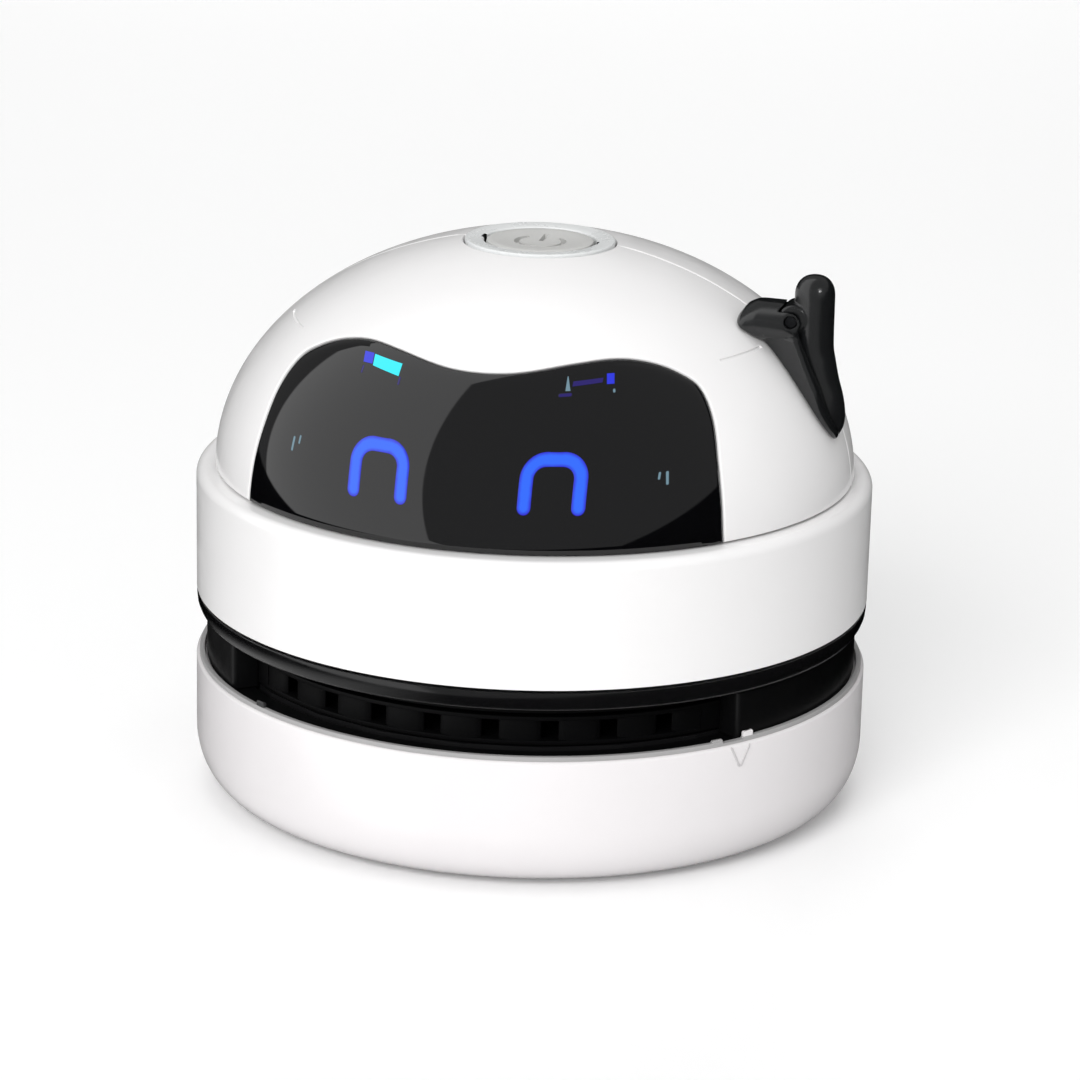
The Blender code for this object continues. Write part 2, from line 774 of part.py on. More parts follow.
def build_chassis():
    step = pillar_top - pillar_roof
    core_bore = core_radius - core_wall
    groove = spigot_radius - seal_groove_depth
    outline = [(core_radius, deck_top), (core_radius, pillar_top), (pillar_radius, pillar_top)]
    outline += [(pillar_radius, pillar_low), (spigot_radius, pillar_low), (spigot_radius, seal_groove_top)]
    outline += [(groove, seal_groove_top), (groove, seal_groove_low), (spigot_radius, seal_groove_low)]
    outline += [(spigot_radius, lower_spigot_top), (lower_spigot_radius, lower_spigot_top)]
    outline += [(lower_spigot_radius, spigot_low), (spigot_bore, spigot_low), (spigot_bore, step)]
    outline += [(core_bore, step), (core_bore, deck_low)]
    outline += [(shaft_opening, deck_low), (shaft_opening, deck_top)]
    chassis = turned("chassis", outline, black_plastic)
    windows = [sector(core_radius - gap, pillar_radius + overrun, middle, pillar_gap_degrees, dome_steps)
               for middle in (0, 180)]
    cut(chassis, prism("exhaust_windows", windows, pillar_low - gap / 3, pillar_top + gap))
    lug_end = spigot_radius + gap / 3
    for number, azimuth in enumerate(lock_azimuths, 1):
        lug = sector(lower_spigot_radius - bite, lug_end, azimuth, lug_width_degrees, 2)
        fuse(chassis, prism(f"bayonet_lug_{number}", [lug], lug_low, lug_top))
    bore_top = cover_low + cover_screw_length + overrun
    post_low = cover_top + gap
    for number, azimuth in enumerate(cover_screw_azimuths, 1):
        spot = around(cover_screw_circle, azimuth)
        fuse(chassis, drum(f"cover_post_{number}", cover_post_radius, post_low, deck_low + bite, at=spot))
        cut(chassis, small_hole(f"cover_bore_{number}", spot, cover_low, bore_top))
    low = deck_low - overrun
    high = deck_top + overrun
    for number, azimuth in enumerate(case_screw_azimuths, 1):
        spot = around(case_screw_circle, azimuth)
        cut(chassis, drum(f"case_hole_{number}", case_screw_radius + gap, low, high, at=spot))
    board_low = port_middle - port_height / 2 - gap - board_thickness
    for number, side in enumerate((-1, 1), 1):
        cut(chassis, small_hole(f"motor_deck_hole_{number}", (side * holder_ear_circle, 0), low, high))
        spot = (side * bracket_screw_offset, bracket_screw_y)
        cut(chassis, small_hole(f"bracket_deck_hole_{number}", spot, low, high))
        post_middle = side * (charge_board_half_width - charge_post_width)
        corner = (post_middle - charge_post_width / 2, charge_board_front, deck_top - bite)
        rear = charge_board_front + charge_board_depth / 2
        far_corner = (post_middle + charge_post_width / 2, rear, board_low - gap)
        fuse(chassis, block(f"charge_post_{number}", corner, far_corner))


def build_exhaust():
    low = cover_top + gap
    high = pillar_top - pillar_roof - gap
    outer = spigot_bore - gap
    inner = outer - grille_wall
    outline = [(outer, high), (outer, low), (inner, low), (inner, high)]
    grille = turned("exhaust_grille", outline, black_plastic)
    slots = []
    for side in (0, 180):
        for slot in range(grille_slots_per_side):
            azimuth = side + (slot - (grille_slots_per_side - 1) / 2) * grille_slot_pitch_degrees
            slots.append(bar(inner - overrun, outer + overrun, azimuth, grille_slot_width))
    cut(grille, prism("grille_slots", slots, low + grille_border, high - grille_border))


def build_fan_cover():
    outer = spigot_bore - gap
    lip = cover_eye_radius + cover_lip_wall
    collar_bore = collar_radius - collar_wall
    outline = [(outer, cover_top), (outer, cover_low), (collar_radius, cover_low)]
    outline += [(collar_radius, cover_low - collar_depth), (collar_bore, cover_low - collar_depth)]
    outline += [(collar_bore, cover_low), (lip, cover_low), (lip, cover_low - cover_lip)]
    outline += [(cover_eye_radius, cover_low - cover_lip), (cover_eye_radius, cover_top)]
    cover = turned("fan_cover", outline, black_plastic, inner_sides)
    for number, azimuth in enumerate(cover_screw_azimuths, 1):
        spot = around(cover_screw_circle, azimuth)
        cut(cover, small_hole(f"cover_hole_{number}", spot, cover_low - overrun, cover_top + overrun))
        small_screw(f"cover_screw_{number}", spot, cover_low - gap, cover_screw_length, way=1)


def build_filter():
    outer = collar_radius - collar_wall - gap
    high = cover_low - cover_lip - gap
    low = high - filter_height
    window = outer - filter_rim
    bore = outer - filter_wall
    lip_top_height = low + filter_lip
    outline = [(outer, high), (outer, low), (window, low), (window, lip_top_height), (bore, lip_top_height)]
    frame = turned("filter_frame", [*outline, (bore, high)], grey_plastic, inner_sides)
    bars = [bar(-window - bite, window + bite, 180 * turn / filter_bars, filter_bar_width)
            for turn in range(filter_bars)]
    for number, outline in enumerate(bars, 1):
        fuse(frame, prism(f"filter_bar_{number}", [outline], low, lip_top_height))
    pad_low = lip_top_height + gap
    drum("filter_pad", bore - gap, pad_low, pad_low + pad_thickness, filter_fleece, sides=inner_sides)


def build_seal():
    outer = cup_bore - gap
    inner = spigot_radius - seal_groove_depth + gap
    high = seal_groove_top - gap
    low = seal_groove_low + gap
    turned("seal_ring", [(outer, high), (outer, low), (inner, low), (inner, high)], soft_rubber)


def build_fan():
    plate_top = deck_low - fan_clearance
    plate_low = plate_top - impeller_plate
    blade_low = cover_top + fan_clearance
    hub_low = plate_low - hub_below
    bore = shaft_radius + gap
    outline = [(hub_radius, plate_top), (impeller_radius, plate_top), (impeller_radius, plate_low)]
    outline += [(hub_radius, plate_low), (hub_radius, hub_low), (bore, hub_low), (bore, plate_top)]
    fan = turned("impeller", outline, grey_plastic, inner_sides)
    blades = []
    for blade in range(blade_count):
        line = []
        for step in range(blade_steps + 1):
            share = step / blade_steps
            radius = blade_inner_radius + (impeller_radius - bite - blade_inner_radius) * share
            azimuth = 360 * blade / blade_count - blade_sweep_degrees * share**blade_curl_share
            line.append(Vector(around(radius, azimuth)))
        ends = zip(line[:1] + line[:-1], line[1:] + line[-1:])
        ways = [(after - before).normalized() for before, after in ends]
        sides = [Vector((-way.y, way.x)) * blade_thickness / 2 for way in ways]
        blades.append([point + side for point, side in zip(line, sides)]
                      + [point - side for point, side in zip(line[::-1], sides[::-1])])
    fuse(fan, prism("fan_blades", blades, blade_low, plate_low + impeller_plate / 2))
    shaft_low = cover_top + shaft_above_cover
    shaft_top = motor_top + motor_cap_height + motor_cap_inset
    drum("motor_shaft", shaft_radius, shaft_low, shaft_top, steel, sides=pin_sides)


def build_motor():
    bore = shaft_radius + running_gap
    outline = [(motor_radius - motor_round, motor_top), (motor_radius, motor_top - motor_round)]
    outline += [(motor_radius, motor_low + motor_round), (motor_radius - motor_round, motor_low)]
    outline += [(motor_boss_radius, motor_low), (motor_boss_radius, deck_low)]
    outline += [(bore, deck_low), (bore, motor_top)]
    turned("motor_can", outline, steel, pin_sides)
    cap_low = motor_top + gap
    cap_top = cap_low + motor_cap_height
    cap_radius = motor_radius - motor_cap_inset
    outline = [(cap_radius, cap_top), (cap_radius, cap_low), (bore, cap_low), (bore, cap_top)]
    cap = turned("motor_end_cap", outline, grey_plastic, pin_sides)
    for number, side in enumerate((-1, 1), 1):
        middle = side * terminal_offset
        low = (middle - terminal_width / 2, -terminal_thickness / 2, cap_top - bite)
        high = (middle + terminal_width / 2, terminal_thickness / 2, cap_top + terminal_rise)
        fuse(cap, block(f"motor_terminal_{number}", low, high))
    holder_bore = motor_radius + gap
    holder_top = motor_low + holder_height
    outline = [(holder_outer, holder_top), (holder_outer, motor_low), (holder_bore, motor_low)]
    holder = turned("motor_holder", [*outline, (holder_bore, holder_top)], black_plastic, pin_sides)
    for number, side in enumerate((-1, 1), 1):
        spot = (side * holder_ear_circle, 0)
        ear_top = motor_low + holder_flange
        fuse(holder, drum(f"holder_ear_{number}", holder_ear_radius, motor_low, ear_top, at=spot))
        cut(holder, small_hole(f"holder_hole_{number}", spot, motor_low - overrun, ear_top + overrun))
        small_screw(f"motor_screw_{number}", spot, ear_top + gap)


def build_vent_ring():
    bore = core_radius + gap
    collar = body_radius - band_wall - gap
    collar_top = band_low + vent_ring_collar
    top_radius = body_radius - vent_ring_inset_top
    low_radius = body_radius - vent_ring_inset_low
    edge = vent_ring_inset_top / 2
    outline = [(collar, collar_top), (collar, vent_ring_top), (top_radius, vent_ring_top)]
    outline += [(low_radius, vent_ring_low + edge), (low_radius - edge, vent_ring_low), (bore, vent_ring_low)]
    turned("vent_ring", [*outline, (bore, collar_top)], black_plastic)


def build_band():
    bore = body_radius - band_wall
    rib_inner = locating_rib_radius - locating_rib_wall
    rib_top = shoulder + locating_rib_rise
    corner = (body_radius - shoulder_round, shoulder - shoulder_round)
    outline = quarter(corner, (shoulder_round, shoulder_round), 90, 0)
    outline += [(body_radius, band_low + band_edge), (body_radius - band_edge, band_low), (bore, band_low)]
    outline += [(bore, flange_low), (flange_bore, flange_low), (flange_bore, shoulder), (rib_inner, shoulder)]
    outline += [(rib_inner, rib_top), (locating_rib_radius, rib_top), (locating_rib_radius, shoulder)]
    band = turned("upper_band", outline, white_plastic)
    screw_bore = case_screw_radius + gap
    screw_sizes = (case_screw_length, case_screw_radius, case_head_radius, case_head_height)
    for number, azimuth in enumerate(case_screw_azimuths, 1):
        spot = around(case_screw_circle, azimuth)
        fuse(band, drum(f"band_post_{number}", case_post_radius, deck_top + gap, shoulder - gap, at=spot))
        cut(band, drum(f"band_post_bore_{number}", screw_bore, deck_top, shoulder + overrun, at=spot))
        screw(f"case_screw_{number}", spot, deck_low - gap, *screw_sizes, way=1)
    hole = oval((0, port_middle), port_width, port_height, gap)
    cut(band, prism("port_hole", [hole], bore - overrun, body_radius + overrun, along="Y"))


def build_dome():
    def shell(name):
        seat = dome_height_at(crown_seat_radius) - crown_seat_drop
        outer = dome_side(0, dome_low, crown_seat_radius)
        inner = dome_side(dome_wall, dome_low, crown_bore)
        outline = [*outer, *inner[::-1], (crown_bore, seat), (crown_seat_radius, seat)]
        return turned(name, outline, white_plastic)

    far = body_radius + overrun
    front = shell("dome_front_shell")
    cut(front, block("rear_half", (-far, seam_offset - gap / 2, 0), (far, far, shoulder + far)))
    rebate = dome_layer("visor_rebate", -overrun, visor_wall + gap, dome_low - overrun)
    keep(rebate, prism("visor_window", [visor_outline(gap)], -far, -crown_bore, along="Y"))
    sight = prism("visor_sight", [visor_outline(-visor_ledge)], -far, -crown_bore, along="Y")
    cut(front, rebate, sight)
    rear = shell("dome_rear_shell")
    cut(rear, block("front_half", (-far, -far, 0), (far, seam_offset + gap / 2, shoulder + far)))
    web_end = dome_radius - dome_wall + gap
    for number, azimuth in enumerate(case_screw_azimuths, 1):
        owner = rear if 90 < azimuth < 270 else front
        spot = around(case_screw_circle, azimuth)
        top = dome_low + shell_post_height
        web = prism(f"post_web_{number}", [bar(case_screw_circle, web_end, azimuth, shell_post_web)],
                    dome_low + shell_post_web_rise, top)
        post = drum(f"shell_post_{number}", case_post_radius, dome_low, top, at=spot)
        bore_low = dome_low - overrun
        bore = drum(f"shell_bore_{number}", case_screw_radius + gap, bore_low, top - overrun, at=spot)
        fuse(owner, web, post)
        cut(owner, bore)
    return front, rear


def build_visor():
    lens = dome_layer("visor_lens", 0, visor_wall, dome_low, black_gloss)
    keep(lens, prism("visor_edge", [visor_outline(0)], -body_radius, -crown_bore, along="Y"))
    trim = dome_solid("display_trim", 0, dome_low - overrun)
    back = -(display_board_setback + board_thickness + gap)
    for kind, outline, surface in (("eye", eye_outline, blue_light), ("brow", brow_outline, cyan_light)):
        for side_name, side in (("left", -1), ("right", 1)):
            window = prism(f"{kind}_window_{side_name}", [outline(side, gap)], -body_radius, back, along="Y")
            cut(lens, window)
            guide = prism(f"{kind}_light_{side_name}", [outline(side, 0)], -body_radius, back, surface, "Y")
            keep(guide, trim)


def build_display():
    front = -display_board_setback
    low = (-display_half_width, front - board_thickness, dome_low)
    high = (display_half_width, front, crown - display_crown_room)
    block("display_board", low, high, circuit_board)
    rear = front + gap
    back = rear + bracket_thickness
    bracket_top = crown - bracket_crown_room
    side = [(back, deck_top + gap), (back, bracket_top), (rear, bracket_top)]
    foot_top = deck_top + gap + bracket_thickness
    side += [(rear, foot_top), (rear - bracket_foot, foot_top), (rear - bracket_foot, deck_top + gap)]
    bracket = prism("display_bracket", [side], -bracket_half_width, bracket_half_width, black_plastic, "X")
    for number, way in enumerate((-1, 1), 1):
        spot = (way * bracket_screw_offset, bracket_screw_y)
        cut(bracket, small_hole(f"bracket_hole_{number}", spot, deck_top, foot_top + overrun))
        small_screw(f"bracket_screw_{number}", spot, foot_top + gap)


def build_button():
    seat = dome_height_at(crown_seat_radius) - crown_seat_drop
    ring_top = dome_height_at(crown_seat_radius) + surround_proud
    ring_low = seat + gap
    lip_low = ring_top - surround_lip_depth
    pocket = button_flange_radius + gap
    outline = [(surround_radius - button_edge, ring_top), (surround_radius, ring_top - button_edge)]
    outline += [(surround_radius, ring_low), (surround_neck, ring_low), (surround_neck, surround_low)]
    outline += [(pocket, surround_low), (pocket, lip_low)]
    outline += [(surround_bore, lip_low), (surround_bore, ring_top)]
    turned("button_surround", outline, pale_plastic, inner_sides)
    button_top = ring_top - button_recess
    flange_top = lip_low - gap
    flange_bottom = flange_top - button_flange_height
    plunger_top = switch_board_top + gap + switch_height + switch_plunger_rise
    stem_low = plunger_top + button_travel + switch_slack
    outline = [(0, button_top), (button_radius - button_edge, button_top)]
    outline += [(button_radius, button_top - button_edge)]
    outline += [(button_radius, flange_top), (button_flange_radius, flange_top)]
    outline += [(button_flange_radius, flange_bottom), (button_stem_radius, flange_bottom)]
    outline += [(button_stem_radius, stem_low), (0, stem_low)]
    button = turned("power_button", outline, button_plastic, inner_sides, solid=True)
    for number, side in enumerate((-1, 1), 1):
        inner = side * (button_radius - button_notch / 2)
        outer = side * (button_radius + overrun)
        low = (min(inner, outer), -button_notch / 2, button_top - button_notch / 2)
        high = (max(inner, outer), button_notch / 2, button_top + overrun)
        cut(button, block(f"button_notch_{number}", low, high))
    body_low = switch_board_top + gap
    half = switch_size / 2
    body_top = body_low + switch_height
    switch = block("tact_switch", (-half, -half, body_low), (half, half, body_top), black_plastic)
    fuse(switch, drum("switch_plunger", switch_plunger_radius, body_low + bite, plunger_top))


def build_switch_board(rear_shell):
    """The small round board under the button, hung from two posts of the rear shell."""
    board_low = switch_board_top - board_thickness
    board_top = switch_board_top
    board = drum("switch_board", switch_board_radius, board_low, board_top, circuit_board, sides=pin_sides)
    for number, side in enumerate((-1, 1), 1):
        spot = (side * board_post_offset, board_post_back)
        post_top = dome_height_at(math.hypot(*spot)) - dome_wall / 2
        post_low = switch_board_top + gap
        fuse(rear_shell, drum(f"board_post_{number}", board_post_radius, post_low, post_top, at=spot))
        bore_top = board_low + small_screw_length
        cut(rear_shell, small_hole(f"board_bore_{number}", spot, post_low - overrun, bore_top))
        cut(board, small_hole(f"board_hole_{number}", spot, board_low - overrun, board_top + overrun))
        small_screw(f"board_screw_{number}", spot, board_low - gap, way=1)


def build_power():
    trough = cell_radius + gap
    outer = trough + cradle_wall
    centre = (cell_setback, deck_top + gap + outer)
    body_end = cell_reach - cell_button_length
    inside = cell_reach + gap
    bowl = quarter(centre, (outer, outer), 180, 360, pin_sides // 2)
    cradle = prism("battery_cradle", [bowl], -inside - cradle_wall, inside + cradle_wall, grey_plastic, "X")
    cut(cradle, prism("cell_trough", [circle(centre, trough, pin_sides)], -inside, inside, along="X"))
    can = circle(centre, cell_radius, pin_sides)
    cell = prism("battery_cell", [can], -cell_reach, body_end, cell_wrap, "X")
    button = circle(centre, cell_button_radius, small_sides)
    fuse(cell, prism("cell_button", [button], body_end - bite, cell_reach, along="X"))
    board_top = port_middle - port_height / 2 - gap
    low = (-charge_board_half_width, charge_board_front, board_top - board_thickness)
    high = (charge_board_half_width, charge_board_front + charge_board_depth, board_top)
    block("charge_board", low, high, circuit_board)
    middle = (0, port_middle)
    mouth = body_radius - port_recess
    rear = mouth - port_depth
    cavity = oval(middle, port_width, port_height, -port_shell)
    tongue_low = (-port_tongue_width / 2, rear + port_floor / 2, port_middle - port_tongue_height / 2)
    tongue_high = (port_tongue_width / 2, mouth - port_floor, port_middle + port_tongue_height / 2)
    socket = prism("usb_socket", [oval(middle, port_width, port_height, 0)], rear, mouth, steel, "Y")
    cut(socket, prism("port_cavity", [cavity], rear + port_floor, mouth + overrun, along="Y"))
    fuse(socket, block("port_tongue", tongue_low, tongue_high))


def clip_place(shares):
    """A place in the clip's own plane from its shares of the clip's length."""
    return hinge_x + shares[0] * antenna_length, hinge_z + shares[1] * antenna_length


def antenna_route():
    """Places and radii of the lever from the top of its rod to the tip of its jaw."""
    tip_centre = hinge_z + rod_tip_rise - rod_radius
    turns = [math.radians(90 * (1 - step / rod_tip_steps)) for step in range(rod_tip_steps)]
    places = [(rod_x, tip_centre + rod_radius * math.sin(turn)) for turn in turns]
    radii = [rod_radius * max(math.cos(turn), rod_tip_share) for turn in turns]
    places += [(rod_x, tip_centre), *(clip_place(shares) for shares in lobe_place_shares)]
    radii += [rod_radius, *(rod_radius * share for share in lobe_radius_shares)]
    return [(x, antenna_plane, z) for x, z in places], radii


def build_antenna(front_shell):
    front = antenna_plane - antenna_half_width
    rear = antenna_plane + antenna_half_width
    leaf_sides = [[], []]
    for height_share, width_share in zip(leaf_height_shares, leaf_width_shares):
        for side, way in zip(leaf_sides, (1, -1)):
            across = antenna_plane + way * width_share * antenna_half_width
            side.append((across, hinge_z + height_share * antenna_length))
    outline = [clip_place(shares) for shares in base_outline_shares]
    widest = max(leaf_width_shares) * antenna_half_width + overrun
    base = prism("antenna_base", [outline], antenna_plane - widest, antenna_plane + widest, dark_plastic, "Y")
    leaf = leaf_sides[0] + leaf_sides[1][::-1]
    keep(base, prism("antenna_leaf", [leaf], 0, body_radius, along="X"))
    chamfered(base, antenna_edge)
    cut(base, dome_solid("antenna_seat", -gap, dome_low))
    route, radii = antenna_route()
    cut(base, tube("antenna_groove", route, [radius + gap for radius in radii]))
    hinge = (hinge_x, hinge_z)
    slot_front = antenna_plane - rod_radius - gap
    slot_rear = antenna_plane + rod_radius + gap
    cut(base, cross_drum("knuckle_room", hinge_clearance_radius, slot_front, slot_rear, hinge))
    low = (hinge_x - hinge_clearance_radius / 2, slot_front, hinge_z)
    cut(base, block("rod_room", low, (body_radius, slot_rear, hinge_z + body_radius)))
    pin_bore = hinge_pin_radius + running_gap
    cut(base, cross_drum("pin_bore", pin_bore, front - overrun, rear + overrun, hinge))
    peg_end = hinge_x - hinge_clearance_radius - bite
    peg_start = peg_end - antenna_peg_reach
    peg_middle = (antenna_plane, hinge_z - antenna_peg_drop)
    peg = circle(peg_middle, antenna_peg_radius, small_sides)
    fuse(base, prism("antenna_peg", [peg], peg_start, peg_end, along="X"))
    peg_hole = prism("antenna_peg_hole", [grown(peg, gap)], peg_start - overrun, hinge_x, along="X")
    cut(front_shell, peg_hole)
    for name, face, floor in (("front", front - overrun, front + hinge_notch_depth),
                              ("rear", rear + overrun, rear - hinge_notch_depth)):
        start, end = sorted((face, floor))
        cut(base, cross_drum(f"pin_notch_{name}", hinge_notch_radius, start, end, hinge, sides=small_sides))
    pin_start = front + hinge_notch_depth
    cross_drum("antenna_pin", hinge_pin_radius, pin_start, rear - hinge_notch_depth, hinge, steel)
    lever = tube("antenna_lever", route, radii, dark_plastic)
    cut(lever, dome_solid("lever_relief", -2 * gap, dome_low))
    near = antenna_plane - rod_radius
    far = antenna_plane + rod_radius
    fuse(lever, cross_drum("lever_knuckle", hinge_knuckle_radius, near, far, hinge))
    cut(lever, cross_drum("lever_bore", pin_bore, front, rear, hinge))
    core = circle(hinge, hinge_spring_core, pin_sides)
    channel = [circle(hinge, hinge_knuckle_radius + overrun, pin_sides), core]
    spring_start = antenna_plane - hinge_spring_width / 2
    spring_end = antenna_plane + hinge_spring_width / 2
    cut(lever, prism("spring_channel", channel, spring_start - gap, spring_end + gap, along="Y"))
    coil_bore = hinge_spring_core + running_gap
    coil = [circle(hinge, radius, pin_sides) for radius in (coil_bore + hinge_spring_wall, coil_bore)]
    prism("antenna_spring", coil, spring_start, spring_end, steel, "Y")
    hang(axis_mark("antenna_axis", (hinge_x, antenna_plane, hinge_z)), lever)


for old in list(bpy.data.objects):
    bpy.data.objects.remove(old)

parts = make_collection("desktop_mini_vacuum")
cutters = make_collection("cutters")

white_plastic = make_surface("white gloss ABS", (0.86, 0.86, 0.86), 0.22)
pale_plastic = make_surface("pale grey ABS", (0.70, 0.73, 0.73), 0.30)
button_plastic = make_surface("grey ABS button", (0.50, 0.50, 0.49), 0.35)
black_plastic = make_surface("black ABS", (0.010, 0.010, 0.011), 0.35)
black_gloss = make_surface("smoked polycarbonate", (0.006, 0.006, 0.007), 0.06)
dark_plastic = make_surface("charcoal ABS", (0.030, 0.031, 0.033), 0.28)
grey_plastic = make_surface("grey ABS", (0.32, 0.33, 0.35), 0.45)
blue_light = make_surface("blue light guide", (0.02, 0.10, 0.95), 0.25)
cyan_light = make_surface("cyan light guide", (0.05, 0.75, 0.85), 0.25)
circuit_board = make_surface("green circuit board", (0.02, 0.16, 0.07), 0.40)
steel = make_surface("plated steel", (0.60, 0.60, 0.62), 0.25, 1.0)
cell_wrap = make_surface("cell wrap", (0.03, 0.12, 0.45), 0.40)
soft_rubber = make_surface("soft rubber", (0.05, 0.05, 0.05), 0.80)
filter_fleece = make_surface("filter fleece", (0.75, 0.76, 0.78), 0.95)
bristle_nylon = make_surface("nylon bristle", (0.04, 0.04, 0.045), 0.55)

lock_azimuths = [lock_azimuth + 360 * turn / lock_count for turn in range(lock_count)]
bracket_screw_y = -(display_board_setback - gap) - bracket_foot / 2
surround_low = dome_height_at(crown_seat_radius) + surround_proud - surround_length
switch_board_top = surround_low - switch_board_drop

build_brushes(build_dust_cup())
build_chassis()
build_exhaust()
build_fan_cover()
build_filter()
build_seal()
build_fan()
build_motor()
build_vent_ring()
build_band()
dome_front, dome_rear = build_dome()
build_visor()
build_display()
build_button()
build_switch_board(dome_rear)
build_power()
build_antenna(dome_front)
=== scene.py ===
import math

import bmesh
import bpy
from mathutils import Matrix, Vector


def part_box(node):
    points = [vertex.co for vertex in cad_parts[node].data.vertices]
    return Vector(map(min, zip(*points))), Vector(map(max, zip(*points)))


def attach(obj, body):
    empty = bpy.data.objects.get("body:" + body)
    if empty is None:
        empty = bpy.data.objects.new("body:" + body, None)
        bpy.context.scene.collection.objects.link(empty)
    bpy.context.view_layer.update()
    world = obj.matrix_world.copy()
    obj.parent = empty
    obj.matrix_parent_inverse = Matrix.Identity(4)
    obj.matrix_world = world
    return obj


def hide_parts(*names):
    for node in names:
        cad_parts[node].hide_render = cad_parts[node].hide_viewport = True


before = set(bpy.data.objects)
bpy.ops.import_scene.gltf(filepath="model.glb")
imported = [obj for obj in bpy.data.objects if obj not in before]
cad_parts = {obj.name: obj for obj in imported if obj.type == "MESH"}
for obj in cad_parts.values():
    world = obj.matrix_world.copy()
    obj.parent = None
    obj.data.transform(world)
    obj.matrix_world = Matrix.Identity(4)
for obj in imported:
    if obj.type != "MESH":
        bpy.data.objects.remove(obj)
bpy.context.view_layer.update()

# Dust cup: the lower bowl that holds the dust. It is one gloss white ABS moulding with a matt lip,
# snap tabs, a well with the suction inlet in its underside, and inner rails that lock on a twist. The lip
# is painted grey as painted shade under the rim, and one tab dark grey as painted shadow.
cup_radius = 0.0450
cup_low = 0.0008
cup_rim = 0.0180
lip_top = 0.0186
rim_step = 0.0004
rim_round = 0.00025
rim_sink = 0.0002
lip_bore = 0.0439
cup_bore = 0.0430
cup_floor = 0.0020
cup_corner = (0.0051, 0.0074)
well_radius = 0.0185
well_top = 0.0036
inlet_radius = 0.0075
inlet_wall = 0.0015
inlet_rise = 0.0022
lock_azimuths = (51.5, 141.5, 231.5, 321.5)
tab_width = 0.0016
tab_top = 0.0193
# The snap tab at this azimuth is painted dark grey as painted shade.
painted_shade_tab_azimuth = 321.5
notch_width = 0.0034
notch_depth = 0.00025
bump_rise = 0.0003
rail_low = 0.0116
rail_top = 0.0146
rail_bore = 0.0420
edge_round = 0.0003
pad_circle = 0.0330
pad_radius = 0.0030
pad_height = 0.0011
fit = 0.0003


def linear(code):
    """An sRGB hex colour as linear red, green, blue and alpha."""
    channels = [int(code[start:start + 2], 16) / 255 for start in (1, 3, 5)]
    return (*(c / 12.92 if c <= 0.04045 else ((c + 0.055) / 1.055) ** 2.4 for c in channels), 1.0)


def add(tree, kind, inputs=None, **settings):
    """Adds a node with its settings. An input is given as a value or as the socket that feeds it."""
    node = tree.nodes.new(kind)
    for name, value in settings.items():
        setattr(node, name, value)
    for key, value in (inputs or {}).items():
        if isinstance(value, bpy.types.NodeSocket):
            tree.links.new(value, node.inputs[key])
        else:
            node.inputs[key].default_value = value
    return node


def calc(tree, way, *values):
    """A sum of numbers or sockets, done by one node."""
    return add(tree, "ShaderNodeMath", dict(enumerate(values)), operation=way).outputs[0]


def ranged(tree, value, span, source=(0.0, 1.0), way="LINEAR"):
    """A value carried from its source range to a new span, and held at the ends."""
    return add(tree, "ShaderNodeMapRange", {"Value": value, "From Min": source[0], "From Max": source[1],
                                            "To Min": span[0], "To Max": span[1]}, interpolation_type=way).outputs[0]


def tinted(tree, share, dark, light):
    """A colour between two sRGB hex colours."""
    return add(tree, "ShaderNodeMix", {0: share, 6: linear(dark), 7: linear(light)}, data_type="RGBA").outputs[2]


def noise(tree, place, scale, detail=2.0, **inputs):
    """Cloudy noise at a scale given as features a metre."""
    values = {"Vector": place, "Scale": scale, "Detail": detail, **inputs}
    return add(tree, "ShaderNodeTexNoise", values).outputs["Fac"]


def bumped(tree, height, strength, distance):
    """A relief of a depth in metres."""
    return add(tree, "ShaderNodeBump", {"Height": height, "Strength": strength, "Distance": distance}).outputs[0]


def start_finish(name, constants):
    """A new material with a Principled shader and its constant values."""
    made = bpy.data.materials.new(name)
    made.use_nodes = True
    shader = made.node_tree.nodes["Principled BSDF"]
    for key, value in constants.items():
        shader.inputs[key].default_value = value
    place = add(made.node_tree, "ShaderNodeTexCoord").outputs["Object"]
    return made, made.node_tree, shader, place


def feed(tree, shader, inputs):
    """Links sockets to a shader's inputs."""
    for key, socket in inputs.items():
        tree.links.new(socket, shader.inputs[key])


def moulded_plastic(name, light, dark, gloss, grain, depth, ior=1.53, drift=0.016, shine=0.5):
    """Moulded plastic: two close colours and the gloss drift over centimetres, under a fine grain.

    The grain is the texture that the mould leaves, with its width and depth in metres.
    """
    made, tree, shader, place = start_finish(name, {"IOR": ior, "Specular IOR Level": shine})
    cloud = noise(tree, place, 1 / drift, 3.0)
    rub = noise(tree, place, 3 / drift, 6.0, Roughness=0.65)
    feed(tree, shader, {"Base Color": tinted(tree, cloud, dark, light),
                        "Roughness": ranged(tree, rub, gloss, (0.3, 0.7)),
                        "Normal": bumped(tree, noise(tree, place, 1 / grain), 0.5, depth)})
    return made


def arc(centre, reach, start, end, steps):
    """Points of an elliptic arc between two angles in degrees."""
    turns = [math.radians(start + (end - start) * step / steps) for step in range(steps + 1)]
    return [(centre[0] + reach[0] * math.cos(t), centre[1] + reach[1] * math.sin(t)) for t in turns]


def eased(outline, radius, steps=3):
    """A closed outline with each sharp corner rounded to a radius, or less on a short side."""
    points = [Vector(point) for point in outline]
    path = []
    for before, corner, after in zip(points[-1:] + points[:-1], points, points[1:] + points[:1]):
        back = before - corner
        ahead = after - corner
        if back.angle(-ahead) < math.radians(25):
            path.append(corner)
            continue
        reach = min(radius, back.length * 0.45, ahead.length * 0.45)
        start = corner + back.normalized() * reach
        end = corner + ahead.normalized() * reach
        for step in range(steps + 1):
            t = step / steps
            path.append(start * (1 - t) ** 2 + corner * 2 * t * (1 - t) + end * t**2)
    return [tuple(point) for point in path]


